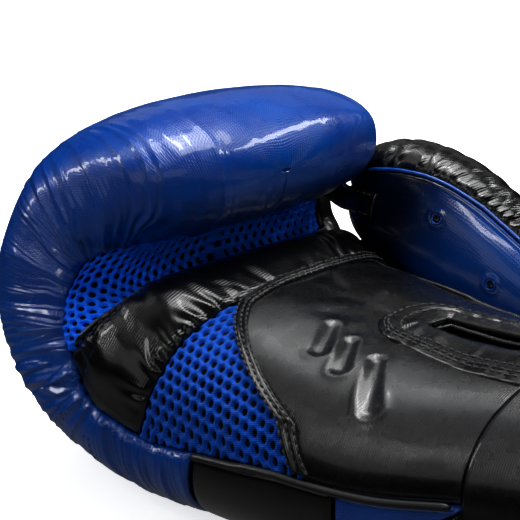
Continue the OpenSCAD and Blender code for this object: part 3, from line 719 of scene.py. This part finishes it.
def knuckle_pad():
    """The striking pad's cover, gathered along the seam: fine folds, then wider and longer ones."""
    rows = closing_rows(count(320, 0.55), KNUCKLE_ROW + 0.01, NOSE, TIP, 0.8)
    across = np.linspace(-1, 1, 400)
    density = np.cumsum(1 + 1.6 * smooth(np.abs(across), 0.6, 0.9))
    q = np.interp(np.linspace(density[0], density[-1], count(290, 0.8)), density, across)
    phi = cover_edge(rows)[:, None] * q[None]
    patch = on(hand, rows[:, None], phi)
    weld = int(np.argmax(rows >= CLOSE_ROWS[-1]))
    open_side = np.where(rows[:, None] < CLOSE_ROWS[-1], 1.0, 1e6)
    line, above = c_seam()
    away, t, near = beside(patch.p, line)
    top = above[near]
    away = away * (1 + 0.45 * top)
    low = 1 - smooth(rows, 5.5, 6.5)[:, None]
    lean = noise(np.stack([t, 0 * t, 0 * t], -1), 17.0, 12)
    t = t + 0.18 * away * lean + 0.5 * smooth(away, 0, 8) * noise(patch.p, 9.0, 13)
    patch.d += 1.6 * (1 - 0.75 * top) * (1 - 0.5 * low) * folds(t, away, 3.9, 28, 14)
    patch.d += 1.9 * (1 - 0.3 * low) * smooth(away, 0, 3) * folds(t, away, 7.5, 34, 15)
    patch.d += 1.4 * smooth(away, 2, 10) * folds(t, away, 14, 40, 16)
    patch.roll_in(4.5, 2.2, patch.edge_u0 * open_side, patch.edge_u1 * open_side)
    patch.roll_in(2.0, 1.0, patch.edge_v0)
    patch.relief((0.5, 34.0, 5), (0.16, 12.0, 6))
    patch.relief((0.045, 4.0, 7))
    o = sheet_of("knuckle_pad_cover", patch, weld=weld, point_end=True)
    dress(o, M_BLUE, "blue_cover", "knuckle_cover", "knuckle_foam_outer", "knuckle_foam_inner",
          "curl_foam", pad=0.95)


# ---- back of the hand

def back_piece(name, s0, s1, material, slot, nodes, seed, edge0=None):
    """Panel round the back from seam to seam. edge0: its first row as a table of the angle."""
    phi = over(330, 1.5, -1, 1)
    v = down((s1 - s0) * 32, 1.5)
    s = mix(look(np.abs(phi * 90), edge0) if edge0 else s0 + 0 * phi, s1, v)
    patch = on(hand, s, phi * (seam(s) - 0.4))
    patch.roll_in(3.0, 1.6, patch.edge_u0, patch.edge_u1)
    patch.roll_in(2.4, 1.1, patch.edge_v0, patch.edge_v1)
    lift = smooth(patch.p[..., 2], 3, 14)
    patch.d += lift * (0.4 * noise(patch.p, 28.0, seed) + 0.12 * noise(patch.p, 9.0, seed + 1))
    dress(sheet_of(name, patch), material, slot, *nodes, pad=0.9)


# ---- air mesh

def mesh_panel(name, low, high, w0, w1, node, material, width, length, pitch=0.32, straight=False):
    """Air mesh with round cells sunk into it, on a staggered lattice that can run straight over a curve."""
    cols, rows = count(width, pitch), count(length, pitch)
    w = np.linspace(w0 * 0.995, w1 * 0.995, cols)
    v = np.linspace(0.002, 0.998, rows)
    s = mix(look(w, low)[None], look(w, high)[None], v[:, None])
    patch = on(hand, s, palm_angle(s, w[None] + 0 * s))
    u, v = patch.uv[..., 0], patch.uv[..., 1]
    if straight:
        row = patch.p[rows // 2]
        across = unit(row[-1] - row[0])
        rel = patch.p - row[cols // 2]
        u, v = rel @ across, rel @ unit(np.cross(patch.n[rows // 2, cols // 2], across))
    nearest = np.full(u.shape, 9.0)
    for dr in (-1, 0, 1):
        row = np.floor(v / ROW + 0.5) + dr
        shift = np.where(np.mod(row, 2) == 0, 0.0, 0.5)
        for dc in (-1, 0, 1):
            dx = u - (np.floor(u / CELL - shift + 0.5) + dc + shift) * CELL
            nearest = np.minimum(nearest, np.hypot(dx, (v - row * ROW) * 1.02))
    hole = CELL_R + 0.12 * noise(patch.p, 9.0, 31)
    patch.d += 0.3 * smooth(nearest, 1.2, 2.3) - 1.1 * smooth(hole + 0.42 - nearest, 0, 0.62)
    patch.d += 0.35 * noise(patch.p, 22.0, 33) - 0.3
    patch.roll_in(2.6, 1.4, patch.edge_v0, patch.edge_v1)
    # painted shade: the sunk cells are masked to be painted near black
    o = sheet_of(name, patch, 0.9, tone=smooth(hole + 0.12 - nearest, 0.0, 0.3))
    cloth(dress(o, material, "vent_mesh", node), patch)


# ---- grip bar and palm

def grip_bar():
    """Padded bar across the palm, with gathers from both of its seams and two rows of stitches."""
    w = np.linspace(-0.998, 0.998, count(150, 0.8))
    low = np.maximum(look(w, GRIP_LOW), look(w, PALM_EDGE))
    v = np.linspace(0.002, 0.998, count(80, 0.7))
    s = mix(low[None], look(w, GRIP_HIGH)[None], v[:, None])
    patch = on(hand, s, palm_angle(s, w[None] + 0 * s))
    crown = 4.2 * np.sin(np.pi * v[:, None]) ** 0.8
    patch.d += crown * smooth(patch.edge_u0, 0, 22) * smooth(patch.edge_u1, 0, 14)
    patch.roll_in(3.2, 2.0, patch.edge_v0, patch.edge_v1)
    patch.roll_in(2.6, 1.6, patch.edge_u0, patch.edge_u1)
    rng, grooves = np.random.default_rng(21), []
    m, n = patch.p.shape[:2]
    for row, sign, number in ((1, 1, 26), (m - 2, -1, 30)):
        for j in (np.linspace(0.03, 0.97, number) * (n - 1)).astype(int):
            root, up = patch.p[row, j], patch.n[row, j]
            d = unit(patch.p[row + sign * 6, j] - root)
            along = unit(d + np.cross(d, up) * rng.normal(0, 0.35))
            grooves.append(crease(rng, root, along, up, (8, 24), (0.8, 1.7), (0.3, 1.1), bend=0.25))
    patch.d += creases(patch, grooves)
    patch.relief((0.5, 17.0, 22), (0.22, 7.0, 23))
    o = sheet_of("grip_bar_cover", patch)
    inner = slice(int(0.07 * n), int(0.97 * n))
    lines = [inset(patch, patch.edge_v1, mm) for mm in (2.4, 4.8)]
    stitch_rows("grip_bar_stitches", [(a[inner], b[inner]) for a, b in lines], slot="black_cover", seed=24,
                pitch=2.7, length=1.9, radius=0.3, lift=0.3)
    dress(o, M_BLACK, "black_cover", "grip_cover", "grip_roll", pad=0.9)


def palm_leather():
    """The palm, with a slit from the wrist to its blind end, and wrinkles and hollows round that end."""
    half = count(78, 0.8)
    rows = count(150, 0.8)
    join = int(rows * 0.5)
    q = np.linspace(0, 1, half)
    i = np.arange(rows)
    w_in = np.where(i < join, SLIT_HALF * mix(1.0, SLIT_TAPER, i / join), 0.0)[:, None]
    w = np.hstack([mix(-0.998, -w_in, q[None]), mix(w_in, 0.998, q[None])])
    edge = look(w, PALM_EDGE) - 0.01
    blind = np.minimum(SLIT_END, edge - 0.12)
    before = mix(PALM_ROW - 0.015, blind, (i / join)[:, None])
    after = mix(blind, edge, ((i - join) / (rows - 1 - join))[:, None])
    s = np.where((i < join)[:, None], before, after)
    patch = on(hand, s, palm_angle(s, w))
    patch.roll_in(3.0, 1.6, patch.edge_u0, patch.edge_u1)
    patch.roll_in(2.4, 1.2, patch.edge_v1)
    # wrinkles fan out from the slit's blind end
    apex = hand(SLIT_END + 0.25, 180.0)
    apex_n = unit(apex - hand(SLIT_END + 0.25, 180.0, 0, 3))
    east = unit(hand(SLIT_END - 0.4, 180.0) - apex)
    north = unit(np.cross(apex_n, east))
    rng, grooves = np.random.default_rng(41), []
    for angle in np.linspace(85, 305, 13):
        a = math.radians(angle + rng.uniform(-6, 6))
        along = unit(east * math.cos(a) + north * math.sin(a))
        root = apex + along * rng.uniform(6, 13)
        grooves.append(crease(rng, root, along, apex_n, (16, 44), (2.2, 4.0), (0.2, 0.55), bend=0.3))
    patch.d += creases(patch, grooves, flare=0.8, start=5.0)
    patch.relief((0.8, 26.0, 42), (0.2, 12.0, 43), (0.012, 4.0, 44))
    for s0, w0, s1, w1, width, depth in PALM_FOLDS:
        a, b = (hand(s, float(palm_angle(s, np.array(x)))) for s, x in ((s0, w0), (s1, w1)))
        patch.d += dent(patch.p, a, b, width, depth)
    o = sheet_of("palm_leather", patch, split=(half, join))
    dress(o, M_PALM, "palm_leather", "palm_panel", "palm_foam", pad=0.7)


# ---- thumb

def thumb_rows(m):
    return closing_rows(m, 0.0, THUMB_NOSE, THUMB_TIP, 0.72)


def thumb_cover():
    """Outer side of the thumb, gathered along both seams."""
    rows = thumb_rows(count(150, 0.9))
    q = np.linspace(0, 1, count(110, 0.8))
    psi = mix(THUMB_LOW, look(rows, THUMB_EDGE)[:, None] - 0.6, q[None])
    patch = on(thumb, rows[:, None], psi)
    patch.roll_in(4.0, 2.2, patch.edge_u0, patch.edge_u1)
    rng, grooves = np.random.default_rng(51), []
    m, n = patch.p.shape[:2]
    for col, sign in ((n - 2, -1), (1, 1)):
        line, up = patch.p[:, col], patch.n[:, col]
        run = lengths(line)
        t = 4.0
        while t < run[-1] - 3:
            i = min(m - 2, int(np.searchsorted(run, t)))
            d = unit(patch.p[i, col + sign * 4] - line[i])
            along = unit(d + np.cross(d, up[i]) * rng.normal(0, 0.14))
            grooves.append(crease(rng, line[i], along, unit(up[i] + patch.n[i, col + sign * 8]), (11, 26),
                                  (0.6, 1.1), (0.5, 1.3), bend=0.15))
            t += rng.uniform(2.6, 4.4)
    patch.d += creases(patch, grooves)
    patch.relief((0.4, 18.0, 52), (0.12, 6.0, 53))
    o = sheet_of("thumb_outer_cover", patch, point_end=True)
    dress(o, M_BLACK, "black_cover", "thumb_cover", "thumb_foam", pad=0.9)


def thumb_panel():
    """Inner side of the thumb with two air holes. Painted shade makes the holes and the tip near black."""
    rows = thumb_rows(count(150, 0.7))
    q = np.linspace(0, 1, count(75, 0.6))
    psi = mix(look(rows, THUMB_EDGE)[:, None] + 0.6, 359.4 + THUMB_LOW, q[None])
    patch = on(thumb, rows[:, None], psi)
    patch.roll_in(3.0, 1.8, patch.edge_u0, patch.edge_u1)
    hole = np.zeros(patch.d.shape)
    for s, a in VENTS:
        r = np.linalg.norm(patch.p - thumb(s, float(a)), axis=-1)
        patch.d += 0.4 * np.exp(-((r - 2.6) / 0.9) ** 2) - 1.6 * smooth(2.1 - r, 0, 0.9)
        # painted shade: near black in each hole, for the shade inside it
        hole = np.maximum(hole, smooth(1.9 - r, 0, 0.5))
    # painted shade: black over the tip, where the panel lies in shade
    hole = np.maximum(hole, 0.97 * smooth(rows, 3.2, 4.5)[:, None] + 0 * hole)
    patch.relief((0.55, 22.0, 61), (0.15, 9.0, 62))
    o = sheet_of("thumb_inner_panel", patch, point_end=True, tone=hole)
    dress(o, M_THUMB, "blue_cover", "thumb_panel", "thumb_panel_foam", pad=0.7)


def thumb_eyelets():
    """A rolled rim round each air hole of the thumb's panel."""
    turn = np.linspace(0, 2 * np.pi, 40)[:-1]
    parts = []
    for s, a in VENTS:
        centre = thumb(s, float(a), 0, 0.1)
        up = unit(centre - thumb(s, float(a), 0, 3))
        side = unit(np.cross(up, np.array([0, 0, 1.0])))
        other = np.cross(up, side)
        spokes = np.cos(turn)[:, None] * side + np.sin(turn)[:, None] * other
        rings = [centre + (1.75 + 0.4 * np.cos(b)) * spokes + 0.4 * np.sin(b) * up
                 for b in np.linspace(0, 2 * np.pi, 13)[:-1]]
        parts.append((np.vstack(rings), band(len(rings), len(turn), len(rings))))
    dress(merged("thumb_vent_eyelets", parts), M_EYELET, "eyelets", "thumb_vents")


# ---- seams, welts and the slit

def edge_line(at, s, a, lift, step=0.8):
    """Points and outward normals along a line on a surface."""
    p = at(s, a, 0.0, -lift)
    return resample(p, unit(p - at(s, a, 0.0, 3.0 - lift)), step)


def slit_facing():
    """U-shaped band round the slit: a padded ridge, a stitched groove, a lower ridge and a stitched edge."""
    arm, per_row, per_palm, band, tip_band = 0.38, 31, 78, 9, 18
    v = down(9, 0.35)
    q = over(150, 0.6)
    turn = np.clip((q - arm) / (1 - 2 * arm), 0, 1) * np.pi
    reach = np.minimum(1, np.minimum(q, 1 - q) / arm)
    half = SLIT_HALF * per_palm * mix(1, SLIT_TAPER, reach) + mix(0.6, mix(2 * band, band, reach), v)
    s = mix(PALM_ROW + 0.02, SLIT_END, reach) + np.sin(turn) * mix(1, tip_band, v) / per_row
    w = np.cos(turn) * half / per_palm
    patch = on(hand, s, palm_angle(s, w), 1.4)
    patch.d += 1.5 * np.sin(np.pi * smooth(v, -0.1, 0.56)) ** 0.7 * (v < 0.56)
    patch.d += 0.9 * np.sin(np.pi * np.clip((v - 0.56) / 0.3, 0, 1))
    patch.d += 0.25 * noise(patch.p, 9.0, 81) + 0.12 * noise(patch.p, 4.0, 82) - 0.7 * smooth(v, 0.85, 1.0)
    rng = np.random.default_rng(83)
    ripple = np.interp(q * 60, np.arange(61), rng.uniform(-1, 1, 61))
    patch.d += 0.28 * ripple * np.sin(np.pi * v)
    dress(sheet_of("slit_facing_band", patch), M_PALM, "palm_leather", "slit_facing")
    stitch_rows("slit_facing_stitches", patch.rows_at(0.56, 0.88, 0.8),
                seed=85, pitch=3.1, length=2.3, radius=0.36)


def slit_elastic():
    """Ribbed elastic that closes the slit from inside."""
    s = np.linspace(0.1, SLIT_END - 0.05, count(130, 0.8))[:, None]
    spread = np.interp(s, [0, PALM_ROW, SLIT_END],
                       [179.5 - SLIT_ANGLE, 85 * SLIT_HALF, 80 * SLIT_HALF * SLIT_TAPER])
    patch = on(hand, s, 180 + over(10, 0.5, -1, 1) * spread, -3.2)
    patch.d += 0.35 * np.sin(patch.v * 2 * np.pi / 3.2) + 0.15 * noise(patch.p, 6.0, 87)
    o = dress(sheet_of("slit_elastic_web", patch, 0.9), M_ELASTIC, "elastic", "slit_elastic")
    cloth(o, patch)


def palm_welt():
    """Welt over the palm leather's front edge, with three rows of stitches."""
    w = over(160, 0.6, 0.95, -0.97)
    v = down(5, 0.35, -1, 1)
    s = look(w, PALM_EDGE) + v * 2.6 / 24
    patch = on(hand, s, palm_angle(s, w), 1.1)
    patch.d += 0.75 * np.abs(np.sin(np.pi * v)) - 0.5 * smooth(np.abs(v), 0.8, 1.0)
    patch.relief((0.2, 5.0, 89))
    dress(sheet_of("palm_edge_welt", patch, 1.0), M_PALM, "palm_leather", "palm_welt")
    stitch_rows("palm_welt_stitches", patch.rows_at(0.06, 0.5, 0.94),
                seed=91, pitch=2.9, length=2.1, radius=0.36)


def pipings():
    s = np.linspace(PALM_ROW + 0.05, 5, 120)
    for name, side, node in (("little_finger_side_piping", -1, "side_piping"),
                             ("thumb_side_seam_piping", 1, "thumb_side_piping")):
        piping(name, edge_line(hand, s, side * seam(s), 1.5), 1.25, M_PIPING, node)
    w = np.linspace(0.93, -0.93, 200)
    high = look(w, GRIP_HIGH)
    fold = edge_line(hand, high, palm_angle(high, w), 0.9)
    piping("grip_fold_piping", fold, 0.85, M_BLACK_PIPING, "grip_piping")
    t = np.linspace(0.2, THUMB_TIP - 0.8, 140)
    edge = edge_line(thumb, t, look(t, THUMB_EDGE), 0.5)
    piping("thumb_panel_piping", edge, 0.6, M_EDGE, "thumb_piping", 0.9)


def tether():
    """Short strap from under the fist's edge to the thumb's tip, and its leather base on the fist."""
    knots = np.array([hand(9.8, 122.0, 0, 1), hand(10.0, 124.0, 0, -1.6), thumb(5.82, 176.0, 0, -1.2),
                      thumb(5.3, 176.0, 0, -1.0), thumb(4.9, 176.0, 0, -0.6)], float)
    run = curve(knots, np.linspace(0, len(knots) - 1, 48))
    along = unit(np.gradient(run, axis=0))
    across = unit(np.cross(along, np.array([0.55, -0.75, 0.1])))
    up = unit(np.cross(across, along))
    v = np.linspace(-1, 1, 24)[None, :, None]
    p = run[:, None] + across[:, None] * v * 4.6 + up[:, None] * 0.8 * (1 - v ** 4)
    patch = Patch(p, np.broadcast_to(up[:, None], p.shape))
    patch.relief((0.15, 4.0, 93))
    dress(sheet_of("thumb_tether_strap", patch, 1.5), M_BLACK, "black_cover", "thumb_tether")
    stitch_rows("thumb_tether_stitches", patch.cols_at(0.14, 0.86), slot="black_cover", seed=94,
                pitch=2.6, length=1.9, radius=0.3)
    v, q = down(50, 0.8), over(36, 0.8)
    base = on(hand, mix(7.4, 10.1, v), mix(96, 136, q), 0.5)
    base.d += 4.5 * (np.sin(np.pi * v) * np.sin(np.pi * q)) ** 0.7 + 0.3 * noise(base.p, 6.0, 95)
    dress(sheet_of("thumb_tether_base", base), M_BLACK, "black_cover")


def gusset():
    """Leather in the crotch: a patch under the palm's edge, and a web from there to the thumb."""
    v = down(80, 0.8)
    q = over(30, 0.8)
    patch = on(hand, mix(3.1, 6.3, v), mix(104, 145, q), 0.9)
    patch.relief((0.5, 12.0, 96), (0.2, 5.0, 97))
    patch.roll_in(2.0, 0.8, *patch.edges)
    dress(sheet_of("thumb_crotch_gusset", patch, 0.9), M_BLACK, "black_cover", "thumb_gusset")
    s, r = v + 0 * q, np.broadcast_to(q, (v.shape[0], q.shape[1]))
    near = hand(mix(3.6, 7.5, s), 116.0 + 0 * s, 0, 1.0)
    far = thumb(mix(1.6, 5.35, s), 212.0 + 0 * s, 0, 1.0)
    p = mix(near, far, r[..., None]) - np.array([0, 0, 2.5]) * np.sin(np.pi * r)[..., None]
    web = Patch(p, np.broadcast_to(np.array([0.3, -0.5, 0.8]), p.shape))
    web.relief((0.35, 7.0, 98))
    dress(sheet_of("thumb_crotch_web", web, 1.0), M_BLACK, "black_cover")


# ---- cuff and linings

def cuff():
    """Padded cuff round the wrist, open at the slit."""
    q = over(320, 1.2, -1, 1)
    phi = q * SLIT_ANGLE
    v = down(60, 1.0)
    patch = on(hand, mix(0.04, look(np.abs(phi), CUFF_EDGE) - 0.02, v), phi)
    lift = smooth(patch.p[..., 2], 3, 14)
    patch.d += lift * (0.9 * np.sin(np.pi * v) ** 0.6 + 0.45 * noise(patch.p, 26.0, 101)
                       + 0.15 * noise(patch.p, 9.0, 102))
    patch.roll_in(1.6, 0.5, patch.edge_v1)
    patch.roll_in(3.0, 1.6, patch.edge_u0, patch.edge_u1)
    o = sheet_of("cuff_pad_cover", patch)
    dress(o, M_PALM, "black_cover", "cuff_cover", "cuff_foam", pad=0.8)
    stitch_rows("cuff_stitches", patch.rows_at(0.1) + patch.cols_at(0.006, 0.994),
                seed=103, pitch=3.6, length=2.6, radius=0.4)


def cuff_binding():
    """Tape folded over the edge of the wrist opening, outside, across and inside."""
    phi = over(330, 1.2, -1, 1) * SLIT_ANGLE
    v = down(34, 0.6)
    fold = smooth(v, 0.36, 0.64)
    s = np.where(v < 0.5, mix(0.075, -0.036, smooth(v, 0, 0.36)), mix(-0.036, 0.09, smooth(v, 0.64, 1.0)))
    s, phi = np.broadcast_arrays(s, phi)
    rise = 0.9 * np.sin(np.pi * np.clip(v, 0, 1)) ** 0.3
    p = hand(s, phi, fold + 0 * s, -rise * (1 - fold) + fold * 2.2)
    p = p + np.array([0.9, 0, 0]) * np.sin(np.pi * np.clip((v - 0.25) / 0.5, 0, 1))[..., None]
    middle = hand(s, phi, 0.5, 0.0) - np.array([3.0, 0, 0])
    patch = Patch(p, unit(p - middle))
    patch.relief((0.18, 5.0, 106))
    dress(sheet_of("wrist_opening_binding", patch, 0.8), M_BINDING, "binding", "cuff_binding")
    stitch_rows("binding_stitches", patch.rows_at(0.07, 0.93),
                seed=107, pitch=3.2, length=2.3, radius=0.36)


def lining(name, at, s, phi, *nodes, weld=None):
    """Cloth that lines the inside, turned over so that its face is towards the hand."""
    patch = on(inside(at), s, phi)
    patch.d += 0.5 * noise(patch.p, 15.0, 111) + 0.18 * noise(patch.p, 6.0, 112) - 0.6
    patch.n = -patch.n
    patch.d = -patch.d
    o = sheet_of(name, patch, 0.7, weld=weld)
    cloth(dress(o, M_LINING, "lining", *nodes), patch)


def linings():
    q = over(220, 2.0, -1, 1)
    start = PALM_ROW + 0.02
    s = down(210, 2.0, start, 8.6)
    lining("back_lining_cloth", hand, s, q * (seam(s) - 2), "back_lining")
    half = np.linspace(0, 1, q.size // 2)[None]
    for side, label, nodes in ((-1, "little_finger", ["palm_lining"]), (1, "thumb", [])):
        w = side * mix(SLIT_HALF, 0.99, half)
        s = mix(start, np.interp(np.abs(w), [0, 0.5, 1], [8.4, 8.3, 7.4]), down(160, 2.0))
        lining("palm_lining_%s_side" % label, hand, s, palm_angle(s, w), *nodes)
    lining("fingertip_pocket_lining", hand, down(50, 2.0, 9.1, 11.2), q * 180, "finger_lining", weld=0)
    lining("cuff_lining_cloth", hand, down(60, 1.6, 0.08, PALM_ROW - 0.02), q * SLIT_ANGLE, "cuff_lining")
    s = down(110, 2.0, 0.6, THUMB_TIP - 0.05)
    lining("thumb_lining_cloth", thumb, s, q * 180, "thumb_lining", weld=0)


# ---- wrist strap

def strap_rise(phi):
    """Height of the strap above the cuff: it climbs onto the hook and loop patches."""
    return np.interp(phi, [STRAP_FOLD - 12, STRAP_FOLD + 25], [STACK, 2 * GAP])


def strap_patch(phi0, phi1, top, margin=0.0, pitch=0.8):
    """Patch that floats above the cuff by top, a height or a function of the angle."""
    phi = np.linspace(phi0, phi1, count(abs(phi1 - phi0) * 1.05, pitch))[None]
    s = np.linspace(STRAP_S0 + margin, STRAP_S1 - margin, count(50, pitch))[:, None]
    s, phi = np.broadcast_arrays(s, phi)
    height = top(phi) if callable(top) else top + 0 * phi
    p = hand(s, phi, 0.0, -height)
    return Patch(p, unit(p - hand(s, phi, 0.0, 3 - height)))


def strap_part(name, phi0, phi1, body, nodes, seed, ends):
    """Half of the strap, with four rows for its stitches. ends: which of its ends are turned in."""
    patch = strap_patch(phi0, phi1, lambda phi: strap_rise(phi) + STRAP_T - 0.1)
    patch.d += 0.16 * noise(patch.p, 14.0, seed) + 0.08 * noise(patch.p, 5.0, seed + 1) - 0.1
    patch.roll_in(1.5, 0.8, patch.edge_v0, patch.edge_v1,
                  *(e for e, turned in zip((patch.edge_u0, patch.edge_u1), ends) if turned))
    o = dress(sheet_of(name, patch, STRAP_T - 0.3), M_STRAP, "strap_cover", *nodes, body=body)
    return o, patch, patch.rows_at(0.07, 0.13, 0.87, 0.93)


def strap():
    """The strap in two halves that overlap, each over one hinge, with its patches and pull tab."""
    middle = 0.5 * (STRAP_ROOT + STRAP_FOLD)
    for name, phi0, phi1, hinge, a, b, nodes, seed, ends, seams in (
            ("wrist_strap_root", STRAP_SEWN, middle + 1, STRAP_ROOT, "glove", "strap",
             ["strap_anchor", "strap_bridge"], 121, (1, 0), (0.03, 0.12)),
            ("wrist_strap_end", middle, STRAP_END, STRAP_FOLD, "strap", "strap_end",
             ["strap_tail"], 123, (0, 1), (0.97, 0.02, 0.045))):
        o, patch, rows = strap_part(name, phi0, phi1, a, nodes, seed, ends)
        rows += patch.cols_at(*seams)
        threads = stitch_rows(name + "_stitches", rows, "strap_cover", a, seed=seed + 20, pitch=3.4,
                              length=2.5, radius=0.38)
        # both are taken off their body and kept in place, instead of riding on one body
        for piece in (o, threads):
            piece.parent = None
            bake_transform(piece)
    for name, phi0, phi1, top, margin, body, node, material, slot in (
            ("hook_tape_patch", STRAP_FOLD - 14, STRAP_END + 4, STACK - 0.05, 0.12, "strap_end",
             "strap_hook_patch", M_HOOK, "hook_tape"),
            ("loop_tape_field", STRAP_FOLD - 10, STRAP_END - 14, GAP + 1.2, 0.08, "glove",
             "strap_loop_patch", M_LOOP, "loop_tape")):
        patch = strap_patch(phi0, phi1, top, margin)
        patch.roll_in(0.9, 0.5, *patch.edges)
        patch.relief((0.05, 2.2, 131))
        dress(sheet_of(name, patch, 1.1), material, slot, node, body=body)
    patch = strap_patch(STRAP_END - 9, STRAP_END + 3, STACK + STRAP_T + 0.25, 0.25, 0.5)
    patch.d += 0.25 * np.sin(patch.v * np.pi / patch.v[-1:]) + 0.1 * noise(patch.p, 4.0, 133)
    patch.roll_in(1.2, 0.9, *patch.edges)
    dress(sheet_of("strap_pull_tab", patch, 2.2), M_BINDING, "binding", "strap_end_tab", body="strap_end")
    stitch_rows("strap_tab_stitches", patch.cols_at(0.8, 0.9), "binding", "strap_end",
                seed=135, pitch=2.8, length=2.0, radius=0.32)


# ---- scene

knuckle_pad()
back_piece("back_of_hand_panel", STRIPE_ROW + 0.02, KNUCKLE_ROW - 0.02, M_BLACK, "black_cover",
           ["back_panel", "back_foam"], 71)
back_piece("back_stripe_panel", 0, STRIPE_ROW - 0.02, M_BLUE, "blue_cover", ["back_stripe"], 73, CUFF_EDGE)
mesh_panel("side_air_mesh", PALM_EDGE, GRIP_LOW, -1, VENT_INNER, "side_vent_mesh", M_MESH, 48, 62,
           straight=True)
mesh_panel("finger_air_mesh", GRIP_HIGH, MESH_TOP, -1, 1, "finger_vent_mesh", M_PAINTED_LIGHT_MESH, 150, 34)
grip_bar()
palm_leather()
thumb_cover()
thumb_panel()
thumb_eyelets()
slit_facing()
slit_elastic()
palm_welt()
pipings()
tether()
gusset()
cuff()
cuff_binding()
linings()
strap()

# ---- stage

AIM = Vector((-0.052, -0.0134, 0.0745))
AZIMUTH, ELEVATION, DISTANCE, LENS = math.radians(45), math.radians(17), 0.7, 145.4
FLOOR_HALF, FLOOR_GLOW, GAMMA = 12.0, 0.7, 0.82
# The surroundings, as Map Range sockets: from the first height of a direction to the second, 1 being
# straight up, their brightness goes from the third value to the fourth, as over a pale table
SKY = {1: -0.3, 2: -0.6, 3: 0.01, 4: 0.16}
# Lights: name, place, size, power, the direction of their width
LIGHTS = [
    ("overhead", (0.05, 0.35, 1.5), (1.3, 0.9), 26, (1, 0, 0)),
    ("palm_glow", (-0.75, -0.25, 1.15), (1.1, 0.6), 2.6, (0, 1, 0)),
    ("top_strip", (-0.22, 0.21, 1.2), (0.7, 0.08), 3.5, (1, -0.27, 0)),
    ("back_strip", (0.7, 1.2, 1.2), (1.0, 0.16), 9, (-1, 0.64, 0)),
    ("left_strip", (-0.95, -0.62, 0.5), (0.6, 0.12), 3.4, (0, 0, 1)),
    ("thumb_strip", (0.24, -1.0, 0.85), (0.5, 0.1), 2.4, (0, 0, 1)),
    ("back_glow", (-1.2, 1.45, 0.75), (1.8, 0.7), 1.1, (1, 0, 0)),
    ("front", (-0.3, -1.6, 0.35), (1.8, 0.5), 2.2, (1, 0, 0)),
    ("side", (0.9, -0.6, 0.45), (0.35, 0.9), 1.0, (0, 0, 1)),
]


def stage():
    """Pale floor that reflections and soft light don't see, and even surroundings that they do."""
    me = bpy.data.meshes.new("floor")
    r = FLOOR_HALF
    me.from_pydata([(-r, -r, 0), (r, -r, 0), (r, r, 0), (-r, r, 0)], [], [(0, 1, 2, 3)])
    floor = shown("floor", me)
    floor.location.z = -0.0004
    k = Look("floor", (0.93, 0.93, 0.93), 0.7, Specular_IOR_Level=0.1, Emission_Color=(1, 1, 1, 1),
             Emission_Strength=FLOOR_GLOW)
    me.materials.append(k.m)
    floor.visible_glossy = False
    floor.visible_diffuse = False
    world = bpy.data.worlds.new("studio")
    bpy.context.scene.world = world
    world.use_nodes = True
    tree = world.node_tree
    sky = tree.nodes["Background"]
    sky.inputs[0].default_value = (1, 1, 1, 1)
    split = tree.nodes.new("ShaderNodeSeparateXYZ")
    level = tree.nodes.new("ShaderNodeMapRange")
    for socket, value in SKY.items():
        level.inputs[socket].default_value = value
    tree.links.new(tree.nodes.new("ShaderNodeTexCoord").outputs["Generated"], split.inputs[0])
    tree.links.new(split.outputs[2], level.inputs[0])
    tree.links.new(level.outputs[0], sky.inputs[1])


def softbox(name, place, size, power, along):
    """Flat light that faces the glove."""
    lamp = bpy.data.lights.new(name, "AREA")
    lamp.shape, lamp.size, lamp.size_y, lamp.energy = "RECTANGLE", size[0], size[1], power
    back = (Vector(place) - Vector((-0.03, 0, 0.07))).normalized()
    up = back.cross(Vector(along)).normalized()
    turn = Matrix((up.cross(back), up, back)).transposed().to_4x4()
    shown(name, lamp).matrix_world = Matrix.Translation(place) @ turn


def camera():
    level = math.cos(ELEVATION)
    back = Vector((math.sin(AZIMUTH) * level, -math.cos(AZIMUTH) * level, math.sin(ELEVATION)))
    cam = bpy.data.cameras.new("camera")
    cam.lens, cam.sensor_width, cam.clip_start = LENS, 36, 0.01
    o = shown("camera", cam)
    o.location = AIM + back * DISTANCE
    o.rotation_euler = back.to_track_quat("Z", "Y").to_euler()
    bpy.context.scene.camera = o


stage()
for light in LIGHTS:
    softbox(*light)
camera()
bpy.context.scene.view_settings.view_transform = "Standard"
bpy.context.scene.view_settings.gamma = GAMMA
